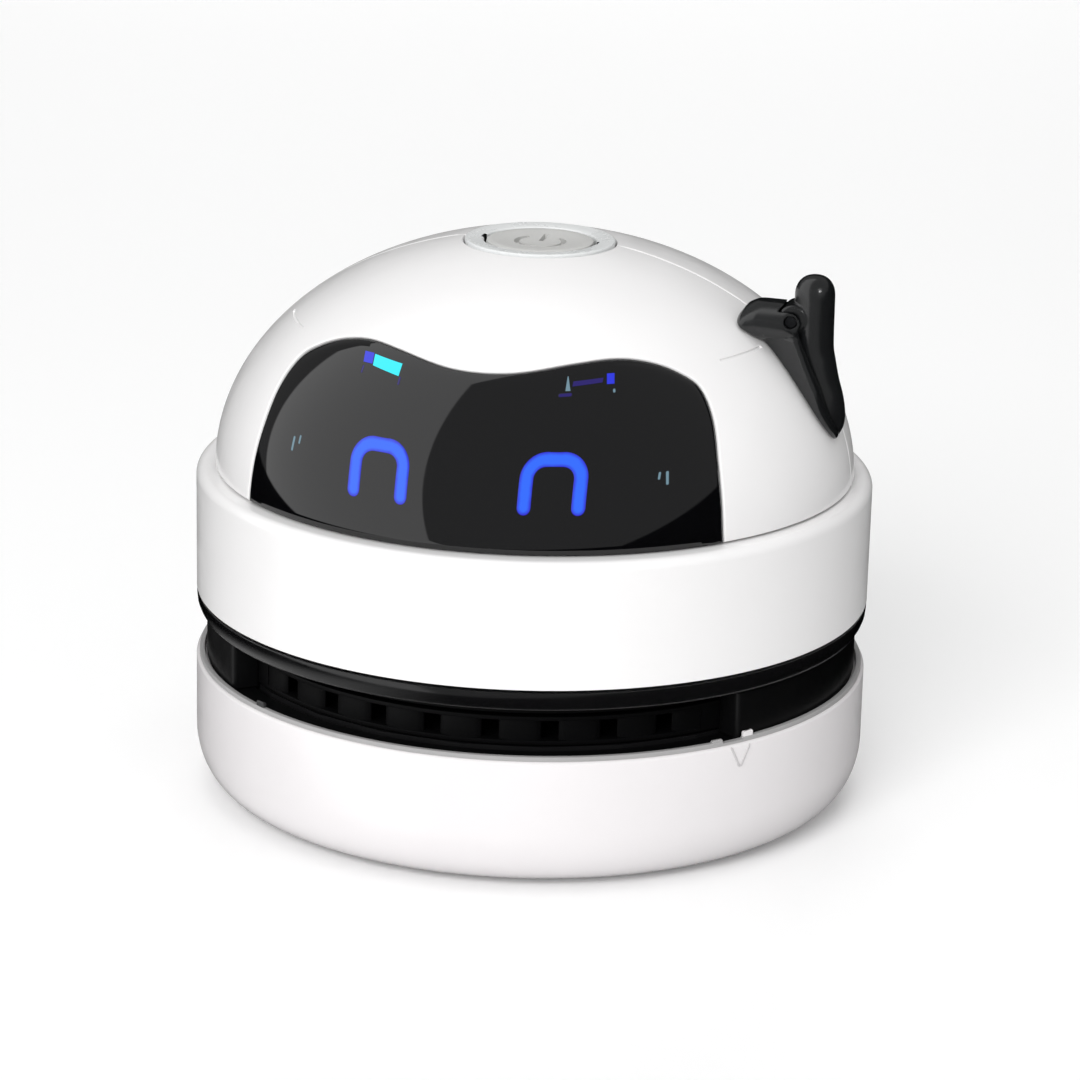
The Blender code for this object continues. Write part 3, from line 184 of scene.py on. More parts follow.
def soften(piece, angle=32):
    """Shades a piece smooth, but for edges sharper than an angle in degrees."""
    piece.data.shade_smooth()
    piece.data.set_sharp_from_angle(angle=math.radians(angle))


def keep_shape(name, shape, material):
    """A finished object from a bmesh: doubles merged, faces out, edges kept sharp."""
    bmesh.ops.remove_doubles(shape, verts=shape.verts, dist=0.0000005)
    bmesh.ops.recalc_face_normals(shape, faces=shape.faces)
    mesh = bpy.data.meshes.new(name)
    shape.to_mesh(mesh)
    shape.free()
    if material:
        mesh.materials.append(material)
    made = bpy.data.objects.new(name, mesh)
    bpy.context.scene.collection.objects.link(made)
    soften(made)
    return made


def lofted(name, rings, material=None):
    """A closed solid through like rings of points, capped at both ends."""
    shape = bmesh.new()
    rings = [[shape.verts.new(point) for point in ring] for ring in rings]
    shape.faces.new(rings[0])
    shape.faces.new(rings[-1])
    for ring, following in zip(rings, rings[1:]):
        for step in range(len(ring)):
            after = (step + 1) % len(ring)
            shape.faces.new((ring[step], ring[after], following[after], following[step]))
    return keep_shape(name, shape, material)


def turned(name, outline, material=None, sides=240, at=(0, 0)):
    """A turned piece: a closed outline of radius and height carried round the upright axis."""
    shape = bmesh.new()
    rings = []
    for side in range(sides):
        turn = 2 * math.pi * side / sides
        way = (math.sin(turn), -math.cos(turn))
        rings.append([shape.verts.new((at[0] + r * way[0], at[1] + r * way[1], z)) for r, z in outline])
    for ring, following in zip(rings, rings[1:] + rings[:1]):
        for step in range(len(outline)):
            after = (step + 1) % len(outline)
            corners = (ring[step], ring[after], following[after], following[step])
            if outline[step][0] > 0 or outline[after][0] > 0:
                shape.faces.new(corners)
    return keep_shape(name, shape, material)


def slab(name, outline, low, high, material=None, along="Z", edge=0.0):
    """A flat outline given thickness along an axis, with its rims broken by a small edge."""
    centre = sum((Vector(point) for point in outline), Vector((0, 0))) / len(outline)
    levels = [(low, edge), (low + edge, 0), (high - edge, 0), (high, edge)] if edge else [(low, 0), (high, 0)]
    rings = []
    for level, inset in levels:
        ring = []
        for before, point, after in zip(outline[-1:] + outline[:-1], outline, outline[1:] + outline[:1]):
            way = (Vector(after) - Vector(before)).normalized()
            aside = Vector((-way.y, way.x))
            aside = aside if aside.dot(centre - Vector(point)) > 0 else -aside
            a, b = Vector(point) + aside * inset
            ring.append({"Z": (a, b, level), "Y": (a, level, b), "X": (level, a, b)}[along])
        rings.append(ring)
    return lofted(name, rings, material)


def settle(piece, angle=32):
    """Makes a piece with modifiers a plain mesh."""
    bpy.context.view_layer.update()
    seen = piece.evaluated_get(bpy.context.evaluated_depsgraph_get())
    mesh = bpy.data.meshes.new_from_object(seen)
    piece.modifiers.clear()
    old = piece.data
    piece.data = mesh
    bpy.data.meshes.remove(old)
    mesh.name = piece.name
    soften(piece, angle)
    return piece


def carve(piece, *tools, way="DIFFERENCE"):
    """Cuts, joins or keeps a piece by closed shapes, which are then removed."""
    for tool in tools:
        step = piece.modifiers.new("carve", "BOOLEAN")
        step.object = tool
        step.operation = way
        step.solver = "EXACT"
    settle(piece)
    for tool in tools:
        bpy.data.objects.remove(tool)
    return piece


def joined(name, *pieces):
    """One object from closed bodies that touch or sit in each other, each with its own finish."""
    mesh = bpy.data.meshes.new(name)
    shape = bmesh.new()
    for piece in pieces:
        finish = next(slot for slot in piece.data.materials if slot)
        if finish.name not in mesh.materials:
            mesh.materials.append(finish)
        before = len(shape.faces)
        shape.from_mesh(piece.data)
        shape.faces.ensure_lookup_table()
        for face in shape.faces[before:]:
            face.material_index = mesh.materials.find(finish.name)
    shape.to_mesh(mesh)
    shape.free()
    made = bpy.data.objects.new(name, mesh)
    bpy.context.scene.collection.objects.link(made)
    for piece in pieces:
        bpy.data.objects.remove(piece)
    soften(made)
    return made


def bearing(radius, azimuth):
    """A point at a radius and an azimuth in degrees from the front towards the right."""
    turn = math.radians(azimuth)
    return radius * math.sin(turn), -radius * math.cos(turn)


def ring_part(inner, outer, middle, width, steps=8):
    """The outline of part of a ring: radii in metres, its middle and width in degrees from the front."""
    turns = [middle + width * (step / steps - 0.5) for step in range(steps + 1)]
    return [bearing(outer, turn) for turn in turns] + [bearing(inner, turn) for turn in turns[::-1]]


def round_line(centre, radius, sides):
    """A whole circle as an outline."""
    return arc(centre, (radius, radius), 0, 360, sides)[:-1]


def box_line(left, right, low, high):
    """A rectangle as an outline."""
    return [(left, low), (right, low), (right, high), (left, high)]


# Gloss ABS from a polished mould: the eye reads soft, slightly wavy reflections on a warm white.
cup_white = moulded_plastic("gloss white ABS, polished mould, cup", "#F1EEEF", "#ECE9EA", (0.17, 0.27), 0.0011,
                            0.000004, 1.62)
# The lip has the same plastic, left matt and painted grey as painted shade: the eye reads a grey line round the rim.
lip_shade_grey = moulded_plastic("white ABS, matt lip", "#B2B1B1", "#A3A2A2", (0.4, 0.55), 0.0006, 0.00001)
corner_out = (cup_radius - cup_corner[0], cup_low + cup_corner[1])
corner_in = (cup_bore - cup_corner[0], cup_low + cup_floor + cup_corner[1])
well_roof = well_top + cup_floor
cup_outline = [(lip_bore + fit, cup_rim), (cup_radius - rim_round, cup_rim), (cup_radius, cup_rim - rim_round)]
cup_outline += arc(corner_out, cup_corner, 0, -90, 14)
cup_outline += [(well_radius, cup_low), (well_radius, well_top), (inlet_radius, well_top)]
cup_outline += [(inlet_radius, well_roof + inlet_rise), (inlet_radius + inlet_wall, well_roof + inlet_rise)]
cup_outline += [(inlet_radius + inlet_wall, well_roof), (well_radius + cup_floor, well_roof)]
cup_outline += [(well_radius + cup_floor, cup_low + cup_floor)]
cup_outline += arc(corner_in, cup_corner, -90, 0, 14)
cup_outline += [(cup_bore, cup_rim - rim_step), (lip_bore, cup_rim - rim_step), (lip_bore, cup_rim - fit / 2),
                (lip_bore + fit, cup_rim - fit / 2)]
cup = turned("dust_cup_moulding", eased(cup_outline, edge_round / 2), cup_white)
cutters = []
for number in range(4):
    circle = round_line(bearing(pad_circle, 45 + 90 * number), pad_radius + fit, 48)
    cutters.append(slab("pad_pocket", circle, cup_low - fit, pad_height + fit))
carve(cup, *cutters)
lip = turned("rim_lip", eased([(cup_radius - rim_step, lip_top), (cup_radius - rim_step, cup_rim - rim_sink),
                               (lip_bore, cup_rim - rim_sink), (lip_bore, lip_top)], 0.00014), lip_shade_grey)
wide = math.degrees(tab_width / cup_radius)
notch_middle = lock_azimuths[0] - math.degrees((tab_width + notch_width) / 2 / cup_radius)
notch_degrees = math.degrees(notch_width / cup_radius)
carve(lip, slab("rim_notch", ring_part(lip_bore - fit, cup_radius, notch_middle, notch_degrees),
                lip_top - notch_depth, lip_top + fit))


def tab_foot(azimuth):
    """The outline of a tab that stands on the lip."""
    return ring_part(lip_bore + fit / 3, cup_radius - rim_step - fit / 3, azimuth, wide)


bump_foot = eased(tab_foot(notch_middle - notch_degrees / 2 - wide / 2), 0.0001)
extras = [lip, slab("rim_bump", bump_foot, cup_rim, lip_top + bump_rise, lip_shade_grey, edge=0.00012)]
for azimuth in lock_azimuths:
    tab = slab("snap_tab", eased(tab_foot(azimuth), 0.00015), cup_rim, tab_top, cup_white, edge=0.00018)
    if azimuth == painted_shade_tab_azimuth:
        tab_in_painted_shade = tab
    else:
        extras.append(tab)
    rail = ring_part(rail_bore, cup_bore + fit, azimuth, 40, 24)
    extras.append(slab("lock_rail", rail, rail_low, rail_top, cup_white, edge=0.0002))
cup = joined("dust_cup_moulding", cup, *extras)
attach(cup, "dust_cup")
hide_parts("dust_cup")
# The tab at the left front is painted dark grey and matt as painted shade, so that it shows only dimly, as if in
# shadow against the recess.
tab_in_painted_shade.name = "painted_shade_tab"
tab_in_painted_shade.data.materials[0] = moulded_plastic("white ABS tab, painted dark grey shade", "#3C3C3D", "#323233", (0.4, 0.55), 0.0004,
                                            0.00001)
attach(tab_in_painted_shade, "dust_cup")

# Turn mark: the slim V that is moulded on the cup below one rim notch, to line the cup up when it is
# put back. It stands a hair proud of the cup and is the same ABS, painted a darker grey than the cup as
# painted shade along the line.
mark_azimuth = 49.35
mark_top = 0.01775
mark_low = 0.01495
mark_half_width = 0.00150
mark_line = 0.00030
mark_proud = 0.00012


def wrapped_line(name, places, width, proud, radius_at, material, steps=10):
    """A raised line laid on a round wall along places given as azimuth in degrees and height."""
    path = []
    for (a0, z0), (a1, z1) in zip(places, places[1:]):
        path += [(a0 + (a1 - a0) * s / steps, z0 + (z1 - z0) * s / steps) for s in range(steps)]
    path.append(places[-1])
    rings = []
    for index, (azimuth, height) in enumerate(path):
        a0, z0 = path[max(index - 1, 0)]
        a1, z1 = path[min(index + 1, len(path) - 1)]
        radius = radius_at(height)
        along = Vector((math.radians(a1 - a0) * radius, z1 - z0)).normalized()
        side = Vector((-along.y, along.x)) * width / 2
        ring = []
        shoulder_rise = proud * 0.6
        for way, lift in ((-1, -proud), (-1, shoulder_rise), (-0.5, proud), (0.5, proud), (1, shoulder_rise),
                          (1, -proud)):
            z = height + side.y * way
            ring.append((*bearing(radius_at(z) + lift, azimuth + math.degrees(side.x * way / radius)), z))
        rings.append(ring)
    return lofted(name, rings, material)


half_turn = math.degrees(mark_half_width / cup_radius)
# The raised line is coloured darker than the cup: painted shade.
mark_shade_grey = moulded_plastic("gloss white ABS, raised line, painted shade grey", "#D3D0D1", "#CCC9CA", (0.3, 0.42), 0.0006, 0.000004)
tip_turn = half_turn * 0.12
tip = mark_low + mark_line / 2
mark_places = [(mark_azimuth - half_turn, mark_top), (mark_azimuth - tip_turn, tip), (mark_azimuth + tip_turn, tip),
               (mark_azimuth + half_turn, mark_top)]
mark = wrapped_line("turn_mark", mark_places, mark_line, mark_proud,
                    lambda z: cup_radius - max(0.0, (z - cup_rim + rim_step)) * 0.9, mark_shade_grey)
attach(mark, "dust_cup")

# Foot pads: four discs of soft rubber pressed into pockets in the cup, so the machine glides on a desk
# and doesn't rattle. Their rims are rounded and their faces a little worn.
pad_edge = 0.0004
rubber = moulded_plastic("soft rubber, moulded", "#3B3B3C", "#303031", (0.62, 0.85), 0.0004, 0.00003, 1.52, 0.004)
for number in range(1, 5):
    spot = bearing(pad_circle, 45 + 90 * number)
    outline = [(0, 0), *arc((pad_radius - pad_edge, pad_edge), (pad_edge, pad_edge), -90, 0, 6),
               (pad_radius, pad_height), (0, pad_height)]
    pad = turned(f"foot_pad_disc_{number}", outline, rubber, 64, spot)
    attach(pad, "dust_cup")
    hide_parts(f"foot_pad_{number}")

# Brush strips: two rows of nylon bristles in a thin back, held in the well on each side of the inlet.
# They sweep crumbs towards the suction and are cut to one length, with a little spread.
strip_width = 0.0034
strip_low = 0.0020
strip_top = 0.0033
strip_offset = 0.0112
strip_length = 0.0220
bristle_reach = 0.0018


def number_tree(name, numbers):
    """A new geometry node tree with number inputs: the tree, its inputs and their identifiers."""
    tree = bpy.data.node_groups.new(name, "GeometryNodeTree")
    tree.interface.new_socket("Geometry", in_out="OUTPUT", socket_type="NodeSocketGeometry")
    sockets = {}
    for label, value in numbers.items():
        kind = "NodeSocketInt" if isinstance(value, int) else "NodeSocketFloat"
        socket = tree.interface.new_socket(label, in_out="INPUT", socket_type=kind)
        socket.default_value = value
        sockets[label] = socket.identifier
    return tree, add(tree, "NodeGroupInput").outputs, sockets


def planted(tree, points, instance, rotation, scale, material):
    """Ends a tree: a copy of the instance at each point, as real faces with a material."""
    spread = add(tree, "GeometryNodeInstanceOnPoints", {"Points": points, "Instance": instance,
                                                        "Rotation": rotation, "Scale": scale})
    real = add(tree, "GeometryNodeRealizeInstances", {0: spread.outputs[0]})
    coloured = add(tree, "GeometryNodeSetMaterial", {"Geometry": real.outputs[0], "Material": material})
    add(tree, "NodeGroupOutput", {0: coloured.outputs[0]})


def grown_by(tree, name, sockets, numbers):
    """Runs a node tree once with its numbers and keeps what it makes as a plain mesh."""
    holder = bpy.data.objects.new(name, bpy.data.meshes.new(name))
    bpy.context.scene.collection.objects.link(holder)
    step = holder.modifiers.new("grow", "NODES")
    step.node_group = tree
    for label, value in numbers.items():
        step[sockets[label]] = value
    return settle(holder)


def bristle_tree(material):
    """A field of bristles: points of a grid, each with a tapered strand, a random lean and length."""
    tree, given, sockets = number_tree("bristle_field", {
        "Field Length": 0.02, "Field Width": 0.003, "Columns": 60, "Rows": 9, "Strand Radius": 0.0001,
        "Strand Length": 0.002, "Lean": 0.16, "Seed": 4})
    field = add(tree, "GeometryNodeMeshGrid", {"Size X": given["Field Length"], "Size Y": given["Field Width"],
                                               "Vertices X": given["Columns"], "Vertices Y": given["Rows"]})
    scatter = add(tree, "FunctionNodeRandomValue", {0: (-0.00012, -0.00012, 0.0), 1: (0.00012, 0.00012, 0.0),
                                                    "Seed": given["Seed"]}, data_type="FLOAT_VECTOR")
    shifted = add(tree, "GeometryNodeSetPosition", {"Geometry": field.outputs["Mesh"],
                                                    "Offset": scatter.outputs[0]})
    strand = add(tree, "GeometryNodeMeshCone", {"Vertices": 6, "Radius Top": 0.00005,
                                                "Radius Bottom": given["Strand Radius"],
                                                "Depth": given["Strand Length"]})
    tip = add(tree, "GeometryNodeTransform", {"Geometry": strand.outputs["Mesh"],
                                              "Rotation": (math.pi, 0.0, 0.0)})
    lean_low = calc(tree, "MULTIPLY", given["Lean"], -1.0)
    low = add(tree, "ShaderNodeCombineXYZ", {"X": lean_low, "Y": lean_low, "Z": 0.0})
    high = add(tree, "ShaderNodeCombineXYZ", {"X": given["Lean"], "Y": given["Lean"], "Z": 6.28})
    turn = add(tree, "FunctionNodeRandomValue", {0: low.outputs[0], 1: high.outputs[0], "Seed": given["Seed"]},
               data_type="FLOAT_VECTOR")
    size = add(tree, "FunctionNodeRandomValue", {2: 0.93, 3: 1.0, "Seed": given["Seed"]}, data_type="FLOAT")
    planted(tree, shifted.outputs[0], tip.outputs[0], turn.outputs[0], size.outputs[1], material)
    return tree, sockets


# Drawn nylon filament: each strand has a long soft highlight on near black, paler towards its cut tip.
nylon, nylon_tree, nylon_shader, nylon_place = start_finish("nylon filament, drawn", {"IOR": 1.53})
tips = ranged(nylon_tree, add(nylon_tree, "ShaderNodeSeparateXYZ", {0: nylon_place}).outputs["Z"], (1.0, 0.0),
              (0.0002, 0.0016))
threads = noise(nylon_tree, nylon_place, 2600.0, 1.0)
feed(nylon_tree, nylon_shader, {
    "Base Color": tinted(nylon_tree, calc(nylon_tree, "MULTIPLY", tips, threads), "#1B1B1D", "#5A5A5E"),
    "Roughness": ranged(nylon_tree, threads, (0.3, 0.5))})
field_tree, field_sockets = bristle_tree(nylon)
for name, side in (("brush_front", -1), ("brush_rear", 1)):
    strands = grown_by(field_tree, name + "_bristles", field_sockets, {
        "Field Length": strip_length - 0.0008, "Field Width": strip_width - 0.0009, "Columns": 62, "Rows": 9,
        "Strand Radius": 0.00012, "Strand Length": bristle_reach, "Lean": 0.13, "Seed": 4 + side})
    strands.data.transform(Matrix.Translation((0, side * strip_offset, strip_low + 0.00005)))
    middle = side * strip_offset
    frame_line = box_line(-strip_length / 2, strip_length / 2, middle - strip_width / 2, middle + strip_width / 2)
    back = slab("strip_back", eased(frame_line, 0.0006, 6), strip_low, strip_top, nylon, edge=0.0002)
    strip = joined(name + "_strip", back, strands)
    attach(strip, "dust_cup")
    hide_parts(name)

# Chassis: the black inner frame. Its deck carries the motor and the shells, its spigot plugs into the
# cup, and its two pillars leave wide windows, where the exhaust air comes out all round.
core_radius = 0.0400
pillar_radius = 0.0436
pillar_low = 0.0179
pillar_top = 0.0244
pillar_roof = 0.0018
spigot_radius = 0.0426
spigot_bore = 0.0402
spigot_low = 0.0095
lower_spigot_radius = 0.0417
lower_spigot_top = 0.0149
groove_low = 0.0156
groove_top = 0.0172
groove_depth = 0.0012
core_bore = 0.0384
deck_low = 0.0286
deck_top = 0.0304
shaft_opening = 0.0050
pillar_degrees = 80
lug_low = 0.0098
lug_top = 0.0113

# Black ABS with a satin mould texture: dull sides that stay dark, with a soft line on each edge. The same black is
# painted shade on the button surround's slot walls.
black = moulded_plastic("black ABS, satin moulded, and painted slot shade", "#0D0D0E", "#09090A", (0.36, 0.48), 0.00035, 0.00001,
                        shine=0.32)
# The core and the grille behind have a coarser matt texture, which sends almost nothing back.
deep_black = moulded_plastic("black ABS, coarse matt moulded", "#0A0A0B", "#070708", (0.5, 0.65), 0.00035, 0.00001,
                             shine=0.15)
core = turned("chassis_core", eased([
    (core_radius, deck_top), (core_radius, pillar_top), (core_radius - fit, pillar_top),
    (core_radius - fit, pillar_top - pillar_roof), (core_bore, pillar_top - pillar_roof), (core_bore, deck_low),
    (shaft_opening, deck_low), (shaft_opening, deck_top)], edge_round), deep_black)
groove = spigot_radius - groove_depth
spigot = turned("chassis_spigot", eased([
    (pillar_radius, pillar_low), (spigot_radius, pillar_low - fit), (spigot_radius, groove_top),
    (groove, groove_top), (groove, groove_low), (spigot_radius, groove_low), (spigot_radius, lower_spigot_top),
    (lower_spigot_radius, lower_spigot_top), (lower_spigot_radius, spigot_low), (spigot_bore, spigot_low),
    (spigot_bore, pillar_low)], 0.0002), black)
bodies = []
for middle in (90, 270):
    foot = eased(ring_part(core_radius - fit, pillar_radius, middle, pillar_degrees, 40), 0.0007, 6)
    bodies.append(slab("pillar", foot, pillar_low - 0.0001, pillar_top, black, edge=0.0003))
for azimuth in lock_azimuths:
    foot = ring_part(lower_spigot_radius - fit, spigot_radius, azimuth, 16, 12)
    bodies.append(slab("bayonet_lug", eased(foot, 0.0004, 3), lug_low, lug_top, black, edge=0.0002))
chassis = joined("chassis_moulding", core, spigot, *bodies)
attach(chassis, "main_unit")
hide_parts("chassis")

# Exhaust grille: a ring of upright vanes between two hoops, set behind the windows. It keeps fingers
# off the fan wheel and lets the air out evenly. The vanes are slim and rounded.
grille_outer = 0.0399
grille_inner = 0.0384
grille_low = 0.0185
grille_high = 0.0223
grille_border = 0.0006
vane_pitch = 11.0
vanes_per_side = 9
vane_gap = 0.0022


def vane_tree(material):
    """Upright vanes on an arc of a circle, each turned to face outwards."""
    tree, given, sockets = number_tree("vane_row", {
        "Count": 9, "Pitch": 0.19, "Middle": 0.0, "Circle Radius": 0.039, "Height": 0.004, "Centre Height": 0.02,
        "Depth": 0.0015, "Thickness": 0.005})
    row = add(tree, "GeometryNodePoints", {"Count": given["Count"]})
    index = add(tree, "GeometryNodeInputIndex").outputs[0]
    half = calc(tree, "MULTIPLY", calc(tree, "SUBTRACT", given["Count"], 1.0), 0.5)
    turn = calc(tree, "MULTIPLY_ADD", calc(tree, "SUBTRACT", index, half), given["Pitch"], given["Middle"])
    across = calc(tree, "MULTIPLY", calc(tree, "SINE", turn), given["Circle Radius"])
    inward = calc(tree, "MULTIPLY", given["Circle Radius"], -1.0)
    ahead = calc(tree, "MULTIPLY", calc(tree, "COSINE", turn), inward)
    spot = add(tree, "ShaderNodeCombineXYZ", {"X": across, "Y": ahead, "Z": given["Centre Height"]})
    placed = add(tree, "GeometryNodeSetPosition", {"Geometry": row.outputs[0], "Position": spot.outputs[0]})
    vane = add(tree, "GeometryNodeMeshCylinder", {"Vertices": 16, "Radius": 0.5, "Depth": 1.0})
    size = add(tree, "ShaderNodeCombineXYZ", {"X": given["Thickness"], "Y": given["Depth"], "Z": given["Height"]})
    facing = add(tree, "ShaderNodeCombineXYZ", {"X": 0.0, "Y": 0.0, "Z": turn})
    planted(tree, placed.outputs[0], vane.outputs["Mesh"], facing.outputs[0], size.outputs[0], material)
    return tree, sockets


row_tree, row_sockets = vane_tree(deep_black)
middle_radius = (grille_outer + grille_inner) / 2
vane_room = 2 * math.pi * middle_radius * vane_pitch / 360
rows = [grown_by(row_tree, "vane_row", row_sockets, {
    "Count": vanes_per_side, "Pitch": math.radians(vane_pitch), "Middle": middle, "Circle Radius": middle_radius,
    "Height": grille_high - grille_low - grille_border, "Centre Height": (grille_low + grille_high) / 2,
    "Depth": (grille_outer - grille_inner) * 0.96, "Thickness": vane_room - vane_gap}) for middle in (0.0, math.pi)]
hoops = [turned("hoop", eased([(grille_outer, high), (grille_outer, low), (grille_inner, low),
                               (grille_inner, high)], 0.00015), deep_black, 160)
         for low, high in ((grille_low, grille_low + grille_border), (grille_high - grille_border, grille_high))]
blanks = [slab("blank_side", ring_part(grille_inner, grille_outer, middle, 88, 40), grille_low + fit,
               grille_high - fit, deep_black) for middle in (90, 270)]
grille = joined("exhaust_grille_ring", *hoops, *blanks, *rows)
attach(grille, "main_unit")
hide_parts("exhaust_grille")

# Vent ring: the black ring that sits flush under the band, hides the deck and turns the exhaust air
# down. It is polished and rounded below, so its lower half carries a soft highlight.
ring_low = 0.0247
ring_top = 0.0272
ring_low_radius = 0.0438
ring_top_radius = 0.04492
ring_round = ((0.04492, 0.0265), (0.04485, 0.0258), (0.04462, 0.0252), (0.04425, 0.0246))
ring_bore = 0.0403
ring_collar = 0.0427
collar_top = 0.0313
# Black ABS from a polished mould: deep black, with the room's light drawn along the ring.
polished_black = moulded_plastic("black ABS, polished mould", "#0F0F10", "#0B0B0C", (0.12, 0.2), 0.0012, 0.000004)
skirt = [(ring_top_radius, ring_top - 0.0001), *ring_round, (ring_low_radius, ring_low - 0.0001),
         (ring_low_radius, ring_low)]
vent_ring = turned("vent_ring_moulding", eased([(ring_collar, collar_top), (ring_collar, ring_top), *skirt,
                                                (ring_bore, ring_low), (ring_bore, collar_top)], 0.00012, 4),
                   polished_black)
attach(vent_ring, "main_unit")
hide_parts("vent_ring")

# Upper band: the white belt round the middle, with a rounded shoulder, a flat ledge that the dome
# stands on, a rib that centres it, and the mouth of the charging port at the rear.
band_low = 0.0275
shoulder = 0.0440
shoulder_round = 0.0013
flange_low = 0.0422
flange_bore = 0.0374
rib_outer = 0.0398
rib_inner = 0.0390
rib_top = 0.0454
port_height = 0.0032
port_width = 0.0089
port_middle = 0.0369
port_flare = 0.0004
white = moulded_plastic("gloss white ABS, polished mould", "#F5F4F4", "#F0EFEF", (0.16, 0.26), 0.0011, 0.000004)
band_outline = arc((cup_radius - shoulder_round, shoulder - shoulder_round), (shoulder_round,) * 2, 90, 0, 10)
band_outline += eased([(cup_radius, band_low), (cup_bore, band_low), (cup_bore, flange_low),
                       (flange_bore, flange_low), (flange_bore, shoulder), (rib_inner, shoulder),
                       (rib_inner, rib_top), (rib_outer, rib_top), (rib_outer, shoulder)], 0.00012, 4)
band = turned("upper_band_moulding", band_outline, white)


def port_line(growth):
    """The flat oval of the charging port in x and z, made larger by a growth."""
    round_end = port_height / 2 + growth
    half = (port_width - port_height) / 2
    right = arc((half, port_middle), (round_end, round_end), -90, 90, 16)
    left = arc((-half, port_middle), (round_end, round_end), 90, 270, 16)
    return right + left


def flared(name, steps, material=None):
    """A closed solid through ovals of the port, given as depth and growth."""
    rings = [[(x, depth, z) for x, z in port_line(growth)] for depth, growth in steps]
    return lofted(name, rings, material)


carve(band, flared("port_mouth", [(cup_bore - 0.002, fit), (cup_radius - 0.0006, fit),
                                  (cup_radius - 0.0001, fit + port_flare), (cup_radius + 0.002, fit + port_flare)]))
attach(band, "main_unit")
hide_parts("upper_band")

# Charging port: a drawn steel shell with a black tongue and a row of gilt contacts. It is soldered to the
# charge board and set back in the band's mouth.
port_shell = 0.0004
port_mouth = 0.0435
port_rear = 0.0362
tongue_half = 0.0033
tongue_rise = 0.00035
contact_pitch = 0.0005
contact_half = 0.00012
contact_rise = 0.0004


def scored_metal(name, light, dark, gloss, scale, detail=4.0):
    """Plated metal with fine marks, whose scale along each axis is given as marks a metre."""
    made, tree, shader, place = start_finish(name, {"Metallic": 1.0})
    mapped = add(tree, "ShaderNodeMapping", {"Vector": place, "Scale": scale}).outputs[0]
    score = noise(tree, mapped, 1.0, detail)
    feed(tree, shader, {"Base Color": tinted(tree, score, dark, light), "Roughness": ranged(tree, score, gloss)})
    return made


# Zinc-plated sheet steel, drawn: a cool bright metal with faint lines along the draw.
drawn_steel = scored_metal("zinc-plated steel, drawn", "#D5D6D8", "#B9BABC", (0.18, 0.36), (4000.0, 300.0, 4000.0),
                           3.0)
socket_shell = flared("charging_port_shell", (
    (port_rear, -0.0002), (port_rear + 0.0002, 0.0), (port_mouth - 0.0001, 0.0), (port_mouth, -0.0001),
    (port_mouth, -port_shell + 0.0001), (port_mouth - 0.0001, -port_shell), (port_rear + 0.0015, -port_shell)),
    drawn_steel)
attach(socket_shell, "main_unit")
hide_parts("usb_socket")
tongue_line = box_line(-tongue_half, tongue_half, port_middle - tongue_rise, port_middle + tongue_rise)
tongue = slab("charging_port_tongue", eased(tongue_line, 0.0002), port_rear + 0.001, port_mouth - 0.0015, black, "Y",
              0.0001)
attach(tongue, "main_unit")
# Gilt contacts: thin gold over nickel, warm and mirror-like.
gilt = scored_metal("gold plate on nickel", "#F0CB7C", "#D9A850", (0.15, 0.3), (3000.0, 3000.0, 3000.0), 2.0)
contacts = []
for number in range(10):
    x = (number - 4.5) * contact_pitch
    strip_line = box_line(x - contact_half, x + contact_half, port_middle - contact_rise, port_middle + contact_rise)
    contacts.append(slab("contact", strip_line, port_rear + 0.0012, port_mouth - 0.0017, gilt, "Y", 0.00003))
contact_row = joined("charging_port_contacts", *contacts)
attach(contact_row, "main_unit")

# Dome shells: the white half-egg, moulded as a front shell with the visor window and a plain rear
# shell that meet at a seam over the crown. They are clipped and screwed down on the ledge.
dome_radius = 0.0425
dome_rise = 0.0314
dome_wall = 0.0022
dome_low = 0.0443
crown_radius = 0.0102
seam_front = 0.00025
seam_rear = 0.00055
shell_edge = 0.00022
visor_half = 0.0308
visor_rise = 0.0215
visor_shares = ((0.985, 0.23), (0.955, 0.46), (0.915, 0.665), (0.850, 0.820), (0.765, 0.905), (0.650, 0.970),
                (0.520, 1.000), (0.370, 0.985), (0.120, 0.935))
groove_azimuths = (58.6, 75.7)
groove_height = 0.0645
groove_width = 0.00022


def smooth_line(points, steps):
    """Points of a curve through the given ones, ends kept (Catmull-Rom)."""
    line = [Vector(point) for point in points]
    padded = [2 * line[0] - line[1], *line, 2 * line[-1] - line[-2]]
    path = []
    for a, b, c, d in zip(padded, padded[1:], padded[2:], padded[3:]):
        for step in range(steps):
            t = step / steps
            path.append(b + ((c - a) * t + (2 * a - 5 * b + 4 * c - d) * t**2 + (3 * b - 3 * c + d - a) * t**3) / 2)
    return path + [line[-1]]


def visor_top_line(growth, steps=10):
    """The visor's edge in x and z from its right foot over both lobes to its left foot."""
    right = [(visor_half * share, dome_low + visor_rise * lift) for share, lift in visor_shares]
    left = [(-x, z) for x, z in right[::-1]]
    line = smooth_line([(visor_half, dome_low), *right, *left, (-visor_half, dome_low)], steps)
    grown = []
    for before, point, after in zip(line[:1] + line[:-1], line, line[1:] + line[-1:]):
        way = (after - before).normalized()
        grown.append(point + Vector((way.y, -way.x)) * growth)
    return grown


def dome_at(azimuth, latitude, inset=0.0):
    """A point of the dome's surface, moved in by an inset; angles are in radians."""
    radius = (dome_radius - inset) * math.cos(latitude)
    height = shoulder + (dome_rise - inset) * math.sin(latitude)
    return Vector((radius * math.sin(azimuth), -radius * math.cos(azimuth), height))


def edge_drop(distance, radius=shell_edge):
    """How far a rounded edge falls away at a distance from the rim."""
    if distance >= radius:
        return 0.0
    return radius - math.sqrt(radius**2 - (radius - distance) ** 2)


